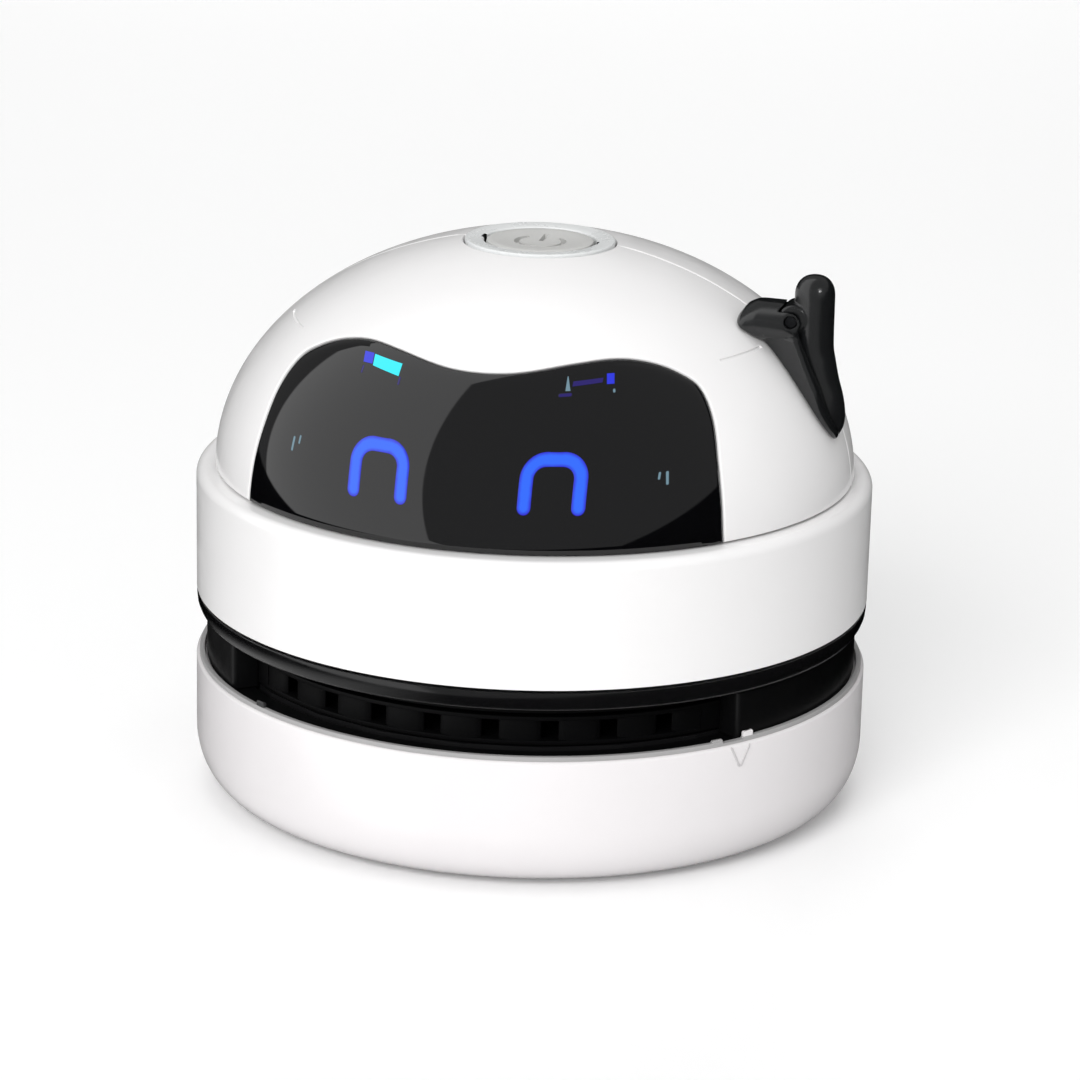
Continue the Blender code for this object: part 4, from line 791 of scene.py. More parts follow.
def stitched(name, outer, inner, material, shares=None):
    """A closed shell from two like grids of points, outer and inner, joined round their border.

    shares gives each outer point a number that its material reads as the attribute across.
    """
    shape = bmesh.new()
    layer = shape.verts.layers.float.new("across")
    skins = []
    for grid in (outer, inner):
        skins.append([[shape.verts.new(point) for point in row] for row in grid])
    for row, line in zip(skins[0], shares or []):
        for vertex, share in zip(row, line):
            vertex[layer] = share
    last_row = len(outer) - 1
    last_step = len(outer[0]) - 1
    for skin in skins:
        for row, following in zip(skin, skin[1:]):
            for step in range(last_step):
                shape.faces.new((row[step], row[step + 1], following[step + 1], following[step]))
    border = [(0, step) for step in range(last_step)] + [(row, last_step) for row in range(last_row)]
    border += [(last_row, step) for step in range(last_step, 0, -1)] + [(row, 0) for row in range(last_row, 0, -1)]
    for (row, step), (after_row, after_step) in zip(border, border[1:] + border[:1]):
        shape.faces.new((skins[0][row][step], skins[0][after_row][after_step], skins[1][after_row][after_step],
                         skins[1][row][step]))
    return keep_shape(name, shape, material)


low_latitude = math.asin((dome_low - shoulder) / dome_rise)
crown_latitude = math.acos(crown_radius / dome_radius)


def seam_azimuth(latitude, seam):
    """Azimuth at which the dome's right side meets the upright plane at a distance behind its middle."""
    return math.pi / 2 + math.asin(seam / (dome_radius * math.cos(latitude)))


window = []
for x, z in visor_top_line(fit):
    latitude = math.asin(max(z - shoulder, dome_low - shoulder) / dome_rise)
    azimuth = math.asin(x / (dome_radius * math.cos(latitude)))
    window.append(Vector((azimuth / seam_azimuth(latitude, seam_front) * math.pi / 2, latitude - low_latitude)))
window[0].y = 0.0
window[-1].y = 0.0


def window_reach(angle):
    """Distance from the middle of the dome's foot to the window's edge, at an angle from the right."""
    way = Vector((math.cos(angle), math.sin(angle)))
    for first, second in zip(window, window[1:]):
        along = second - first
        cross = way.x * along.y - way.y * along.x
        if abs(cross) < 1e-12:
            continue
        reach = (first.x * along.y - first.y * along.x) / cross
        share = (first.x * way.y - first.y * way.x) / cross
        if reach > 0 and -1e-9 <= share <= 1 + 1e-9:
            return reach
    return window[0].x if angle < math.pi / 2 else -window[-1].x


crown_lift = crown_latitude - low_latitude
corner_angle = math.atan2(crown_lift, math.pi / 2)
angles = [math.radians(degrees) for degrees in (0, 0.12, 0.3, 0.6, 1.0, 1.6, 2.6)]
angles += [angles[-1] + (corner_angle - angles[-1]) * step / 44 for step in range(1, 45)]
angles += [corner_angle + (math.pi / 2 - corner_angle) * step / 70 for step in range(1, 71)]
angles += [math.pi - angle for angle in angles[-2::-1]]
front_rows = []
front_backs = []
row_steps = 44
edge_steps = (0.0, 0.00002, 0.00006, 0.00012, 0.0002, 0.0004)
for angle in angles:
    way = Vector((math.cos(angle), math.sin(angle)))
    near = window_reach(angle)
    sides = [math.pi / 2 / abs(way.x)] if abs(way.x) > 1e-9 else []
    far = min(sides + ([crown_lift / way.y] if way.y > 1e-9 else []))

    def point(share, inset=0.0):
        spot = way * (near + (far - near) * share)
        latitude = spot.y + low_latitude
        return dome_at(spot.x / (math.pi / 2) * seam_azimuth(latitude, seam_front), latitude, inset)

    marks = [point(step / 12) for step in range(13)]
    length = sum((b - a).length for a, b in zip(marks, marks[1:]))
    shares = [step / length for step in edge_steps]
    low_share, high_share = shares[-1], 1 - shares[-1]
    shares += [low_share + (high_share - low_share) * step / row_steps for step in range(1, row_steps)]
    shares += [1 - step / length for step in edge_steps[::-1]]
    row = []
    for share in shares:
        drop = max(edge_drop(share * length), edge_drop((1 - share) * length),
                   edge_drop(point(share).z - dome_low))
        row.append(point(share, drop))
    front_rows.append(row)
    front_backs.append([point(share, dome_wall) for share in shares])
front_shell = stitched("dome_front_moulding", front_rows, front_backs, white)

rear_rows = []
rear_backs = []
lift_steps = [0.0, 0.0006, 0.0014, 0.0026, 0.0042, 0.0070, 0.0100]
lift_steps += [lift_steps[-1] + (crown_lift - 0.0006 - lift_steps[-1]) * step / 40 for step in range(1, 41)]
lift_steps += [crown_lift - 0.0003, crown_lift]
for lift in lift_steps:
    latitude = low_latitude + lift
    start = seam_azimuth(latitude, seam_rear)
    turn = 2 * math.pi - 2 * start
    span = turn * dome_radius * math.cos(latitude)
    steps = [distance / span for distance in edge_steps]
    steps += [steps[-1] + (1 - 2 * steps[-1]) * step / 150 for step in range(1, 150)]
    steps += [1 - distance / span for distance in edge_steps[::-1]]
    level_drop = max(edge_drop(dome_rise * math.sin(latitude) - (dome_low - shoulder)),
                     edge_drop((crown_latitude - latitude) * dome_radius))
    drops = [max(edge_drop(share * span), edge_drop((1 - share) * span), level_drop) for share in steps]
    rear_rows.append([dome_at(start + turn * share, latitude, drop) for share, drop in zip(steps, drops)])
    rear_backs.append([dome_at(start + turn * share, latitude, dome_wall) for share in steps])
rear_shell = stitched("dome_rear_moulding", rear_rows, rear_backs, white)


def groove_tool(side):
    """A slim arc of round section that leaves a groove in the dome, level with the floor."""
    sweep = [side * (groove_azimuths[0] + (groove_azimuths[1] - groove_azimuths[0]) * step / 24)
             for step in range(25)]
    rise = math.asin((groove_height - shoulder) / dome_rise)
    rings = []
    for azimuth in sweep:
        centre = dome_at(math.radians(azimuth), rise)
        out = Vector((centre.x, centre.y, 0)).normalized()
        turns = [2 * math.pi * step / 8 for step in range(8)]
        rings.append([centre + groove_width * (out * math.cos(turn) + Vector((0, 0, 1)) * math.sin(turn))
                      for turn in turns])
    return lofted("groove_tool", rings)


carve(front_shell, groove_tool(1), groove_tool(-1))
for shell, node in ((front_shell, "dome_front_shell"), (rear_shell, "dome_rear_shell")):
    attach(shell, "main_unit")
    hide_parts(node)

# Visor: a thin smoked polycarbonate lens, moulded to the dome's curve and snapped into its window.
# It is polished on both faces, so it mirrors the room over the lights behind it.
lens_wall = 0.0011
lens_edge = 0.0002
# Smoked polycarbonate, polished: nearly black, with crisp reflections that bend with the dome.
smoked = moulded_plastic("smoked polycarbonate, polished", "#08080A", "#060607", (0.02, 0.05), 0.004, 0.000002,
                         1.585)
border = visor_top_line(0.0, 14)


def lens_point(x, z, inset):
    """The lens' surface behind a place seen from the front."""
    height = min(z, shoulder + dome_rise)
    wide = (dome_radius - inset) * math.sqrt(1 - ((height - shoulder) / dome_rise) ** 2)
    return Vector((x, -math.sqrt(max(wide**2 - x**2, 0)), height))


lens_rows = []
lens_backs = []
lens_steps = 40
for index, top in enumerate(border):
    row = []
    heights = [dome_low + (top.y - dome_low) * step / lens_steps for step in range(lens_steps + 1)]
    for height in heights:
        near = border[max(0, index - 30):index + 31]
        to_edge = min(height - dome_low, min((Vector((top.x, height)) - spot).length for spot in near))
        row.append(lens_point(top.x, height, edge_drop(to_edge, lens_edge)))
    lens_rows.append(row)
    lens_backs.append([lens_point(top.x, height, lens_wall) for height in heights])
visor = stitched("visor_lens_shell", lens_rows, lens_backs, smoked)
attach(visor, "main_unit")
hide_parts("visor_lens")

# Lights: two arched eyes, two short brow bars and two pairs of cheek ticks. Each is a clear acrylic
# guide that fills its slot in the visor and glows from the board behind, brightest along its middle.
eye_offset = 0.0111
eye_half = 0.0042
eye_low = 0.0492
eye_high = 0.0567
eye_stroke = 0.0019
eye_corner = 0.0032
light_proud = 0.00004
light_edge = 0.00012
guide_depth = 0.0009
patch_share = 0.2


def lit_acrylic(name, middle, rim, strength):
    """Clear acrylic lit from behind: bright along the middle of a stroke, deeper at its rims."""
    made, tree, shader, place = start_finish(name, {"IOR": 1.49, "Emission Strength": strength, "Roughness": 0.08,
                                                    "Base Color": linear("#101018")})
    across = add(tree, "ShaderNodeAttribute", attribute_name="across").outputs["Fac"]
    uneven = ranged(tree, noise(tree, place, 900.0), (-0.12, 0.12))
    fade = ranged(tree, calc(tree, "ADD", across, uneven), (0.0, 1.0), (0.35, 1.0), "SMOOTHSTEP")
    feed(tree, shader, {"Emission Color": tinted(tree, fade, middle, rim)})
    return made


def light_stroke(name, path, stroke, material):
    """A round-ended band of light set in the lens along a path in x and z."""
    half = stroke / 2
    line = [Vector(point) for point in path]
    start_way = (line[0] - line[1]).normalized()
    end_way = (line[-1] - line[-2]).normalized()
    ends = [half * math.sin(math.radians(turn)) for turn in (90, 80, 68, 55, 40, 25, 10)]
    full = [(line[0] + start_way * reach, math.sqrt(max(half**2 - reach**2, 0))) for reach in ends]
    full += [(point, half) for point in line]
    full += [(line[-1] + end_way * reach, math.sqrt(max(half**2 - reach**2, 0))) for reach in ends[::-1]]
    outer = []
    inner = []
    rims = []
    for index, (spot, wide) in enumerate(full):
        way = (full[min(index + 1, len(full) - 1)][0] - full[max(index - 1, 0)][0]).normalized()
        side = Vector((-way.y, way.x))
        shares = [step / 5 - 1 for step in range(11)]
        places = [spot + side * wide * share for share in shares]
        rim = [math.sqrt((share * wide) ** 2 + half**2 - wide**2) / half for share in shares]
        drops = [edge_drop(half * max(1 - r, 0.0), light_edge) - light_proud for r in rim]
        outer.append([lens_point(place.x, place.y, drop) for place, drop in zip(places, drops)])
        inner.append([lens_point(place.x, place.y, guide_depth) for place in places])
        rims.append(rim)
    return stitched(name, outer, inner, material, rims)


def light_patch(name, corners, material):
    """A four-sided patch of light set in the lens, its corners given in x and z."""
    a, b, c, d = (Vector(corner) for corner in corners)
    grid = [[a.lerp(b, u / 6).lerp(d.lerp(c, u / 6), v / 6) for u in range(7)] for v in range(7)]
    outer = [[lens_point(spot.x, spot.y, -light_proud) for spot in row] for row in grid]
    inner = [[lens_point(spot.x, spot.y, guide_depth) for spot in row] for row in grid]
    return stitched(name, outer, inner, material, [[patch_share] * 7] * 7)


blue_glow = lit_acrylic("acrylic light guide, lit blue", "#2F6BFF", "#2B1FD0", 1.0)
cyan_glow = lit_acrylic("acrylic light guide, lit cyan", "#22E6F4", "#1AA8E8", 1.1)
indigo_glow = lit_acrylic("acrylic light guide, lit indigo", "#2A36E8", "#1F1AA0", 0.9)
violet_glow = lit_acrylic("acrylic light guide, lit violet", "#2B1C7C", "#160F3C", 0.7)
pale_glow = lit_acrylic("acrylic light guide, lit pale blue", "#8FB4C4", "#47606C", 0.6)
leg = eye_half - eye_stroke / 2
bend = eye_corner - eye_stroke / 2
foot = eye_low + eye_stroke / 2
knee = eye_high - eye_stroke / 2 - bend
for name, side in (("left", -1), ("right", 1)):
    middle = side * eye_offset
    path = [(middle + leg, foot + (knee - foot) * step / 10) for step in range(10)]
    path += arc((middle + leg - bend, knee), (bend, bend), 0, 90, 14)
    path += arc((middle - leg + bend, knee), (bend, bend), 90, 180, 14)
    path += [(middle - leg, knee + (foot - knee) * step / 10) for step in range(1, 11)]
    eye = light_stroke(f"eye_glow_{name}", path, eye_stroke, blue_glow)
    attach(eye, "main_unit")
    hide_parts(f"eye_light_{name}")


def set_light(piece, node=None):
    """Carries a light on the main unit, in the place of its node if it has one."""
    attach(piece, "main_unit")
    if node:
        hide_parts(node)


patches = (("brow_bar_left", "brow_light_left", cyan_glow,
            ((-0.01462, 0.06481), (-0.01048, 0.06442), (-0.01061, 0.06316), (-0.01452, 0.06370))),
           ("brow_end_left", None, indigo_glow,
            ((-0.01615, 0.06487), (-0.01478, 0.06487), (-0.01466, 0.06384), (-0.01600, 0.06384))),
           ("brow_bar_right", "brow_light_right", violet_glow,
            ((0.01154, 0.06395), (0.01494, 0.06425), (0.01494, 0.06379), (0.01154, 0.06345))),
           ("brow_end_right", None, indigo_glow,
            ((0.01523, 0.06464), (0.01608, 0.06465), (0.01636, 0.06361), (0.01551, 0.06360))),
           ("brow_start_right", None, pale_glow,
            ((0.01072, 0.06445), (0.01082, 0.06445), (0.01142, 0.06300), (0.01083, 0.06300))))
for name, node, glow, corners in patches:
    set_light(light_patch(name, corners, glow), node)
ticks = (("tick_left_inner", (-0.01036, 0.06299), (-0.01040, 0.06240), 0.00035, violet_glow),
         ("tick_left_outer", (-0.01584, 0.06341), (-0.01590, 0.06285), 0.00035, violet_glow),
         ("tick_right_inner", (0.01031, 0.06255), (0.01150, 0.06262), 0.00045, violet_glow),
         ("tick_right_outer", (0.01648, 0.06298), (0.01654, 0.06284), 0.00035, pale_glow),
         ("cheek_left_long", (-0.02398, 0.05415), (-0.02412, 0.05275), 0.00042, pale_glow),
         ("cheek_left_short", (-0.02304, 0.05450), (-0.02313, 0.05375), 0.00036, pale_glow),
         ("cheek_right_short", (0.02327, 0.05375), (0.02325, 0.05315), 0.00036, pale_glow),
         ("cheek_right_long", (0.02410, 0.05375), (0.02425, 0.05250), 0.00042, pale_glow))
for name, start, end, width, glow in ticks:
    line = [Vector(start).lerp(Vector(end), step / 6) for step in range(7)]
    set_light(light_stroke(name, line, width, glow))

# Button surround: a pale grey ABS ring let into the crown, with a lip that holds the button down. It has
# two short slots at the sides of its bore, whose walls are painted black as painted shade for the dark inside of the
# slots.
surround_radius = 0.0099
surround_bore = 0.0074
surround_top = 0.07478
surround_low = 0.0699
surround_seat = 0.0739
surround_neck = 0.0089
pocket_radius = 0.0081
lip_low = 0.0726
slot_half = 0.0009
slot_depth = 0.0004
edge_margin = 0.00002
pale = moulded_plastic("pale grey ABS, satin moulded", "#E8EAEA", "#E2E4E4", (0.22, 0.34), 0.0008, 0.000002)
surround = turned("button_surround_ring", eased([
    (surround_radius, surround_top), (surround_radius, surround_seat), (surround_neck, surround_seat),
    (surround_neck, surround_low), (pocket_radius, surround_low), (pocket_radius, lip_low), (surround_bore, lip_low),
    (surround_bore, surround_top - 0.0002)], 0.0003, 5), pale, 160)
slots = []
for side in (-1, 1):
    line = [(side * x, y) for x, y in box_line(surround_bore - 0.0002, surround_bore + slot_depth, -slot_half,
                                               slot_half)]
    slots.append(slab("side_slot", eased(line, 0.0002, 4), lip_low - fit, surround_top + fit))
carve(surround, *slots)
# The slot walls take the black finish: painted shade for the inside of the narrow slots, which light hardly reaches.
surround.data.materials.append(black)
for face in surround.data.polygons:
    across = abs(face.center.x) - surround_bore
    upright = abs(face.normal.z) < 0.1
    if upright and 0 < across < slot_depth + edge_margin and abs(face.center.y) < slot_half + edge_margin:
        face.material_index = 1
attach(surround, "main_unit")
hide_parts("button_surround")

# Power button: a grey ABS disc with a shallow dish and an on-off sign sunk into its face, a flange under
# the surround's lip and a stem that meets the switch.
button_radius = 0.0071
button_top = 0.07458
button_flange = 0.0078
flange_top = 0.0723
flange_bottom = 0.0712
stem_radius = 0.0016
dish_depth = 0.00035
dish_share = 0.84
sign_radius = 0.0031
sign_line = 0.0007
sign_depth = 0.0005
sign_bar = (0.0006, 0.0042)
stem_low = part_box("power_button")[0].z
# Grey ABS with a fine matt texture: the dish goes softly from light to dark, and the sunk sign darker.
button_grey = moulded_plastic("grey ABS, fine matt moulded", "#CFCFCD", "#C2C2C0", (0.34, 0.46), 0.00025, 0.000012)
dish = [(button_radius * dish_share * step / 10, button_top - dish_depth * (1 - (step / 10) ** 2))
        for step in range(11)]
button_outline = dish + [(button_radius - 0.0004, button_top), (button_radius - 0.0001, button_top - 0.0001),
                         (button_radius, button_top - 0.0004), (button_radius, flange_top),
                         (button_flange, flange_top), (button_flange, flange_bottom), (stem_radius, flange_bottom),
                         (stem_radius, stem_low), (0, stem_low)]
button = turned("power_button_disc", button_outline, button_grey, 144)
sweep = [40 + 280 * step / 40 for step in range(41)]
ring_line = [(reach * math.sin(math.radians(a)), reach * math.cos(math.radians(a)))
             for reach, turns in ((sign_radius + sign_line / 2, sweep), (sign_radius - sign_line / 2, sweep[::-1]))
             for a in turns]
bar_line = eased(box_line(-sign_line / 2, sign_line / 2, *sign_bar), 0.0003, 4)
floor = button_top - dish_depth - sign_depth
carve(button, *(slab("sign", line, floor, button_top + fit) for line in (ring_line, bar_line)))
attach(button, "power_button")
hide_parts("power_button")

# Antenna clip: a charcoal ABS clothes-peg shape on the dome's right side. Its base follows the dome,
# and its lever is a round rod that narrows into a slim jaw and turns on a pin with a small spring.
hinge_x = 0.034898
hinge_y = -0.0044
hinge_z = 0.067995
clip_length = 0.0200
clip_half = 0.0042
rod_radius = 0.0026
rod_tip = 0.0056
rod_out = 0.1225
knuckle_radius = 0.0019
knuckle_room = 0.0021
pin_room = 0.00085
pin_bore = 0.00078
pin_reach = 0.006
pin_sink = 0.0009
barrel_middle = 0.0004
barrel_radius = 0.0025
barrel_least = 0.42
leaf_start = 0.0006
leaf_blend = 0.0018
leaf_width = 0.0046
leaf_fall = 0.42
ridge_reach = 0.0006
base_shares = ((-0.405, -0.100), (-0.350, 0.010), (-0.310, 0.062), (-0.250, 0.095), (-0.025, 0.088), (0.040, 0.065),
               (0.070, 0.005), (0.045, -0.080), (0.130, -0.275), (0.205, -0.425), (0.250, -0.570), (0.300, -0.675),
               (0.325, -0.725), (0.325, -0.770), (0.295, -0.795), (0.105, -0.795))
leaf_shares = ((-0.800, 0.20), (-0.765, 0.50), (-0.700, 0.82), (-0.600, 1.08), (-0.460, 1.25), (-0.330, 1.20),
               (-0.200, 1.08), (-0.080, 1.03), (0.010, 1.00), (0.065, 0.80), (0.105, 0.46))
lobe_shares = ((0.1275, -0.175, 1.00), (0.150, -0.300, 0.98), (0.185, -0.420, 0.92), (0.232, -0.535, 0.82),
               (0.260, -0.625, 0.72), (0.272, -0.695, 0.60), (0.272, -0.745, 0.42), (0.268, -0.780, 0.20))
charcoal = moulded_plastic("charcoal ABS, semi-gloss moulded", "#191A1B", "#131415", (0.17, 0.27), 0.0009,
                           0.000003, 1.6)


def tube_solid(name, route, sides=40):
    """A closed round solid along places with a radius at each."""
    rings = []
    side = Vector((0, 1, 0))
    turns = [2 * math.pi * step / sides for step in range(sides)]
    for index, (spot, radius) in enumerate(route):
        before = Vector(route[max(index - 1, 0)][0])
        after = Vector(route[min(index + 1, len(route) - 1)][0])
        up = (after - before).normalized().cross(side).normalized()
        rings.append([Vector(spot) + radius * (side * math.cos(turn) + up * math.sin(turn)) for turn in turns])
    return lofted(name, rings, charcoal)


def lever_route(extra):
    """Places and radii of the lever from the top of its rod to the tip of its jaw."""
    rod_x = hinge_x + rod_out * clip_length
    top = hinge_z + rod_tip - rod_radius
    route = [((rod_x, hinge_y, top + rod_radius * math.sin(math.radians(a))),
              max(rod_radius * math.cos(math.radians(a)) ** 0.8, 0.0001) + extra)
             for a in (88, 83, 76, 67, 56, 44, 32, 20, 8)]
    places = [Vector((rod_out, 0.0, 1.0)), *(Vector(shares) for shares in lobe_shares)]
    places[0].y = (top - hinge_z) / clip_length
    route += [((hinge_x + p.x * clip_length, hinge_y, hinge_z + p.y * clip_length), p.z * rod_radius + extra)
              for p in smooth_line(places, 8)]
    last = route[-1]
    route += [((last[0][0] + 0.00002, hinge_y, last[0][2] - d), max(last[1] - extra, 0) * s + extra)
              for d, s in ((0.0002, 0.85), (0.00038, 0.5), (0.00045, 0.15))]
    return route


def dome_core(inset):
    """The dome as a closed solid, to trim what sits on it."""
    side = [((dome_radius - inset) * math.cos(t), shoulder + (dome_rise - inset) * math.sin(t))
            for t in (math.pi / 2 * step / 60 for step in range(61))]
    return turned("dome_core", side[:-1] + [(0, shoulder + dome_rise - inset), (0, shoulder)])


def remoulded(piece, voxel, passes):
    """Rounds the edges of a solid as a mould does: an even skin, then smoothed."""
    skin = piece.modifiers.new("skin", "REMESH")
    skin.mode = "VOXEL"
    skin.voxel_size = voxel
    ease = piece.modifiers.new("ease", "SMOOTH")
    ease.factor = 0.6
    ease.iterations = passes
    settle(piece, 60)
    return piece


def opened(piece, degrees):
    """Turns a cutting shape about the hinge, as the lever turns when the jaw opens."""
    hinge = Matrix.Translation((hinge_x, hinge_y, hinge_z))
    piece.data.transform(hinge @ Matrix.Rotation(math.radians(-degrees), 4, "Y") @ hinge.inverted())
    return piece


def drum(name, radius, near, far, material=None, edge=0.0):
    """A round bar along the hinge pin."""
    circle = round_line((hinge_x, hinge_z), radius, 40)
    return slab(name, circle, hinge_y + near, hinge_y + far, material, "Y", edge)


def falling(distance, reach, least):
    """A share that rises in a quarter round from the least at an edge to one at a reach from it."""
    near = min(max(distance / reach, 0.0), 1.0)
    return least + (1 - least) * math.sqrt(1 - (1 - near) ** 2)


def away(spot, line):
    """Distance of a spot from a line of points."""
    near = 1.0
    for start, end in zip(line, line[1:]):
        way = end - start
        share = min(max((spot - start).dot(way) / way.length_squared, 0.0), 1.0)
        near = min(near, (spot - start - way * share).length)
    return near


def crowned(piece, border):
    """Shapes the flat sides of the base: a barrel along its top, and below it a leaf with a ridge."""
    line = [Vector(point) for point in border]
    end_line, top_line, right_line = line[:4], line[2:7], line[7:15]
    for vertex in piece.data.vertices:
        spot = Vector((vertex.co.x, vertex.co.z))
        rise = spot.y - hinge_z
        under = min(rise + barrel_middle, 0.0) / barrel_radius
        barrel = barrel_least + (1 - barrel_least) * math.sqrt(max(0.0, 1 - under**2))
        barrel *= falling(away(spot, top_line), 0.0023, barrel_least) * falling(away(spot, end_line), 0.0012, 0.35)
        across = min(away(spot, right_line) / leaf_width, 1.0)
        leaf = (1.0 - leaf_fall * across**1.25) * falling(away(spot, right_line), ridge_reach, 0.8)
        drop = min(max((-leaf_start - rise) / leaf_blend, 0.0), 1.0)
        leaf *= drop * drop * (3 - 2 * drop)
        vertex.co.y = hinge_y + (vertex.co.y - hinge_y) * max(barrel, leaf)


outline = [(hinge_x + x * clip_length, hinge_z + z * clip_length) for x, z in base_shares]
leaf_reach = clip_half * 1.3
base = slab("antenna_base_moulding", eased(outline, 0.0005, 4), hinge_y - leaf_reach, hinge_y + leaf_reach,
            charcoal, "Y")
leaf = smooth_line([(hinge_y + w * clip_half, hinge_z + z * clip_length) for z, w in leaf_shares], 5)
leaf += smooth_line([(hinge_y - w * clip_half, hinge_z + z * clip_length) for z, w in leaf_shares[::-1]], 5)
leaf_tool = slab("leaf_tool", [tuple(point) for point in leaf], 0.0, cup_radius, None, "X")
carve(base, leaf_tool, way="INTERSECT")
remoulded(base, 0.0002, 12)
crowned(base, outline[:-1])
rooms = [opened(tube_solid("rod_room", lever_route(fit)), turn) for turn in (0, 7, 14, 20)]
carve(base, dome_core(-fit), *rooms, drum("knuckle_room", knuckle_room, -rod_radius - fit, rod_radius + fit),
      drum("pin_notch", pin_room, -pin_reach, pin_sink - clip_half),
      drum("pin_notch", pin_room, clip_half - pin_sink, pin_reach))
remoulded(base, 0.00013, 5)
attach(base, "main_unit")
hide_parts("antenna_base")
lever = tube_solid("antenna_lever_moulding", lever_route(0.0), 48)
carve(lever, dome_core(-2 * fit))
carve(lever, drum("knuckle", knuckle_radius, -rod_radius, rod_radius, None, 0.0002), way="UNION")
carve(lever, drum("pin_bore", pin_bore, -pin_reach, pin_reach))
remoulded(lever, 0.00013, 5)
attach(lever, "antenna_lever")
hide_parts("antenna_lever")

# Inner pieces: what the case holds, seen only through the openings. Each keeps its CAD shape and gets
# the finish of its real material.
fine_lines = 2600.0
long_lines = 140.0
upright_lines = (fine_lines, fine_lines, long_lines)


def circuit_resin():
    """Glass-epoxy board: green lacquer over a grid of pale tracks and pads."""
    made, tree, shader, place = start_finish("glass-epoxy board, lacquered", {"IOR": 1.5, "Roughness": 0.3})
    tracks = add(tree, "ShaderNodeTexBrick", {"Vector": place, "Scale": 260.0, "Color1": linear("#1C6B3C"),
                                              "Color2": linear("#175B33"), "Mortar": linear("#3E8F5A"),
                                              "Mortar Size": 0.06})
    feed(tree, shader, {"Base Color": tracks.outputs["Color"],
                        "Normal": bumped(tree, tracks.outputs["Fac"], 0.4, 0.00003)})
    return made


inner_finishes = {
    scored_metal("zinc-plated steel, drawn can", "#CFD0D2", "#AEB0B3", (0.2, 0.34), upright_lines): ["motor_can"],
    scored_metal("steel, ground", "#C9CACC", "#A5A7AA", (0.16, 0.28), upright_lines): ["motor_shaft"],
    scored_metal("steel, black oxide", "#3A3B3D", "#242527", (0.32, 0.5), (fine_lines, long_lines, fine_lines)):
        ["antenna_pin", "antenna_spring"],
    scored_metal("zinc-plated steel, rolled thread", "#D2D3D2", "#B2B3B0", (0.22, 0.36),
                 (long_lines, fine_lines, fine_lines)): [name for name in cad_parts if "_screw_" in name],
    moulded_plastic("grey ABS, matt moulded", "#9A9CA0", "#8B8D92", (0.4, 0.55), 0.0005, 0.00001):
        ["motor_end_cap", "motor_holder", "battery_cradle", "filter_frame"],
    moulded_plastic("black ABS, fan wheel", "#1A1A1B", "#121213", (0.3, 0.45), 0.0004, 0.00001):
        ["impeller", "fan_cover", "display_bracket", "tact_switch"],
    circuit_resin(): ["display_board", "switch_board", "charge_board"],
    moulded_plastic("PVC shrink film, blue", "#2E63B0", "#26569C", (0.22, 0.4), 0.0007, 0.000012):
        ["battery_cell"],
}
for finish, nodes in inner_finishes.items():
    for node in nodes:
        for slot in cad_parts[node].material_slots:
            slot.material = finish

# Seal ring: a soft rubber band in the spigot's groove that keeps dust from the joint with the cup.
# Its section is an oval that bulges a little more towards the cup.
seal_middle = (0.0421, 0.0164)
seal_outer = (0.0006, 0.0005)
seal_inner = (0.0004, 0.0005)
seal = turned("seal_ring_band", [*arc(seal_middle, seal_outer, -90, 90, 8),
                                 *arc(seal_middle, seal_inner, 90, 270, 8)[1:-1]], rubber, 160)
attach(seal, "main_unit")
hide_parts("seal_ring")

# Filter pad: a disc of needled fleece in the filter frame, a little crowned and soft at its rim.
pad_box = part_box("filter_pad")
pad_low, pad_high = pad_box[0].z, pad_box[1].z
fleece_radius = pad_box[1].x - 0.0001
# Needled polyester fleece: tangled pale fibres with no shine.
fleece, fleece_tree, fleece_shader, fleece_place = start_finish("polyester fleece, needled", {
    "Roughness": 0.95, "Sheen Weight": 0.3, "Sheen Roughness": 0.5, "IOR": 1.5})
tangle = noise(fleece_tree, fleece_place, 1800.0, 6.0, Roughness=0.7, Distortion=1.2)
feed(fleece_tree, fleece_shader, {"Base Color": tinted(fleece_tree, tangle, "#C9CACB", "#F0F0EE"),
                                  "Normal": bumped(fleece_tree, tangle, 0.9, 0.00015)})
crown = 0.0003
lower = [(fleece_radius * s / 12, pad_low + crown * (s / 12) ** 4) for s in range(13)]
upper = [(x, pad_low + pad_high - z) for x, z in lower[::-1]]
fleece_pad = turned("filter_fleece_disc", lower + upper, fleece, 128)
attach(fleece_pad, "main_unit")
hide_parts("filter_pad")

# Floor, light and camera: one large matt sheet as the floor, soft lamps that light it from above, the
# front and behind, and the camera at the photograph's angle.
floor_grey, floor_tree, floor_shader, floor_place = start_finish("pale studio floor", {"Roughness": 0.6})
floor_shader.inputs["Emission Color"].default_value = (1.0, 1.0, 1.0, 1.0)
# A little glow, for the camera alone: the floor is blown out to white, as on a lit table.
floor_glow = 0.09
seen_floor = add(floor_tree, "ShaderNodeLightPath").outputs["Is Camera Ray"]
feed(floor_tree, floor_shader, {
    "Base Color": tinted(floor_tree, noise(floor_tree, floor_place, 3.0), "#F6F6F6", "#FAFAFA"),
    "Emission Strength": calc(floor_tree, "MULTIPLY", seen_floor, floor_glow)})
floor_shape = bmesh.new()
bmesh.ops.create_grid(floor_shape, x_segments=1, y_segments=1, size=4.0)
stage_floor = keep_shape("stage_floor", floor_shape, floor_grey)
stage_floor.visible_glossy = False

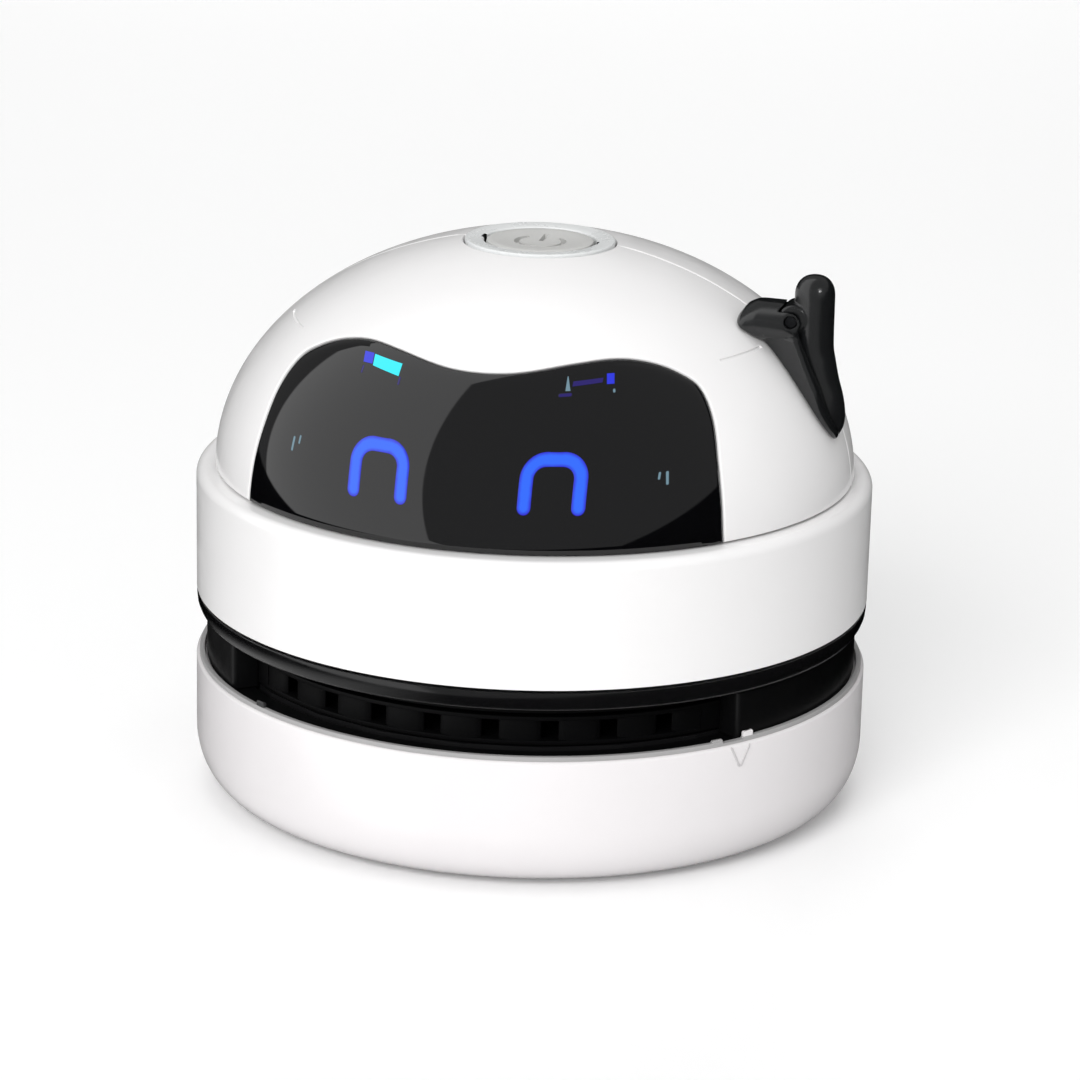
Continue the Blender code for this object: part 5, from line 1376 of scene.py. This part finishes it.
# The room: even pale light that fades away from the camera and to the left, and for reflections a dark
# room with a tall soft box at the left, a dim wall at the front and right, and a low patch at the left.
# The edges of the box and the wall are planes through the object, given by their normals.
box_level = 0.95
wall_left_level = 0.22
wall_right_level = 0.30
patch_level = 0.60
front_level = 0.32
base_level = 0.26
left_fade = -0.20
world = bpy.data.worlds.new("studio")
bpy.context.scene.world = world
world.use_nodes = True
room = world.node_tree
backdrop = room.nodes["Background"]
backdrop.inputs["Color"].default_value = (1.0, 1.0, 1.0, 1.0)
look = add(room, "ShaderNodeTexCoord").outputs["Generated"]
rays = add(room, "ShaderNodeLightPath").outputs


def beyond(plane, softness, offset=0.0):
    """One on the far side of a plane near the object, nought on the near side."""
    reach = add(room, "ShaderNodeVectorMath", {0: look, 1: plane}, operation="DOT_PRODUCT").outputs["Value"]
    return ranged(room, reach, (0.0, 1.0), (offset - softness, offset + softness), "SMOOTHSTEP")


left_side = beyond((-0.892, 0.426, -0.149), 0.006)
inside_box = beyond((-0.125, -0.919, 0.374), 0.008)
above_right = beyond((-0.272, -0.472, 0.839), 0.010)
above_left = beyond((-0.100, -0.495, 0.863), 0.010)
lower_left = calc(room, "MULTIPLY", beyond((-1.0, 0.0, 0.0), 0.25, 0.45), beyond((0.0, 0.0, -1.0), 0.15, 0.5))
level = calc(room, "MULTIPLY", calc(room, "MULTIPLY_ADD", inside_box, box_level, wall_left_level), left_side)
level = calc(room, "MULTIPLY_ADD", calc(room, "SUBTRACT", 1.0, left_side), wall_right_level, level)
level = calc(room, "MULTIPLY", level, calc(room, "MULTIPLY", above_right, above_left))
level = calc(room, "MULTIPLY_ADD", lower_left, patch_level, level)
even = calc(room, "MULTIPLY_ADD", beyond((0.21, -0.93, 0.30), 0.9, 0.1), front_level, base_level)
even = calc(room, "MULTIPLY_ADD", beyond((-1.0, 0.0, 0.0), 0.35, 0.65), left_fade, even)
even = calc(room, "MAXIMUM", even, rays["Is Camera Ray"])
strength = add(room, "ShaderNodeMix", {0: rays["Is Glossy Ray"], 2: even, 3: level})
feed(room, backdrop, {"Strength": strength.outputs[0]})


def soft_lamp(name, place, target, size, power):
    """A large square lamp that faces a point and isn't itself mirrored in the gloss."""
    data = bpy.data.lights.new(name, "AREA")
    data.shape = "RECTANGLE"
    data.size, data.size_y = size
    data.energy = power
    lamp = bpy.data.objects.new(name, data)
    bpy.context.scene.collection.objects.link(lamp)
    way = Vector(target) - Vector(place)
    lamp.location = place
    lamp.rotation_euler = way.to_track_quat("-Z", "Y").to_euler()
    lamp.visible_glossy = False
    return lamp


middle = (0, 0, 0.04)
soft_lamp("key_lamp", (-0.15, -1.2, 0.75), middle, (0.7, 0.6), 11.8)
soft_lamp("top_lamp", (0.0, 0.1, 1.5), middle, (1.2, 1.2), 6)
soft_lamp("rear_lamp", (-0.3, 1.4, 0.6), middle, (0.8, 0.8), 6)

# One small lamp for the clip's lever alone: its mirror image is the bright point near the top of the rod.
glint = soft_lamp("glint_lamp", (0.49, -0.58, 0.39), (0.0373, -0.0044, 0.071), (0.05, 0.05), 1.0)
glint.visible_glossy = True
glint.visible_diffuse = False
lever_only = bpy.data.collections.new("lever_only")
lever_only.objects.link(lever)
glint.light_linking.receiver_collection = lever_only
bpy.context.scene.view_settings.view_transform = "Standard"

camera_place = Vector((0.11201, -0.50110, 0.19016))
aim = Vector((0, 0, 0.038216))
pan, tilt, roll = (math.radians(degrees) for degrees in (0.0993, -0.4998, 1.365))
ahead = (aim - camera_place).normalized()
right = ahead.cross(Vector((0, 0, 1))).normalized()
upward = right.cross(ahead)


def swung(first, second, angle):
    """Two square directions turned in their own plane."""
    along, across = math.cos(angle), math.sin(angle)
    return first * along + second * across, second * along - first * across


ahead, right = swung(ahead, right, pan)
ahead, upward = swung(ahead, upward, tilt)
right, upward = swung(right, upward, roll)
camera_data = bpy.data.cameras.new("camera")
camera_data.sensor_width = 36.0
camera_data.lens = 133.333
camera = bpy.data.objects.new("camera", camera_data)
bpy.context.scene.collection.objects.link(camera)
turn = Matrix((right, upward, -ahead)).transposed()
camera.matrix_world = Matrix.Translation(camera_place) @ turn.to_4x4()
bpy.context.scene.camera = camera
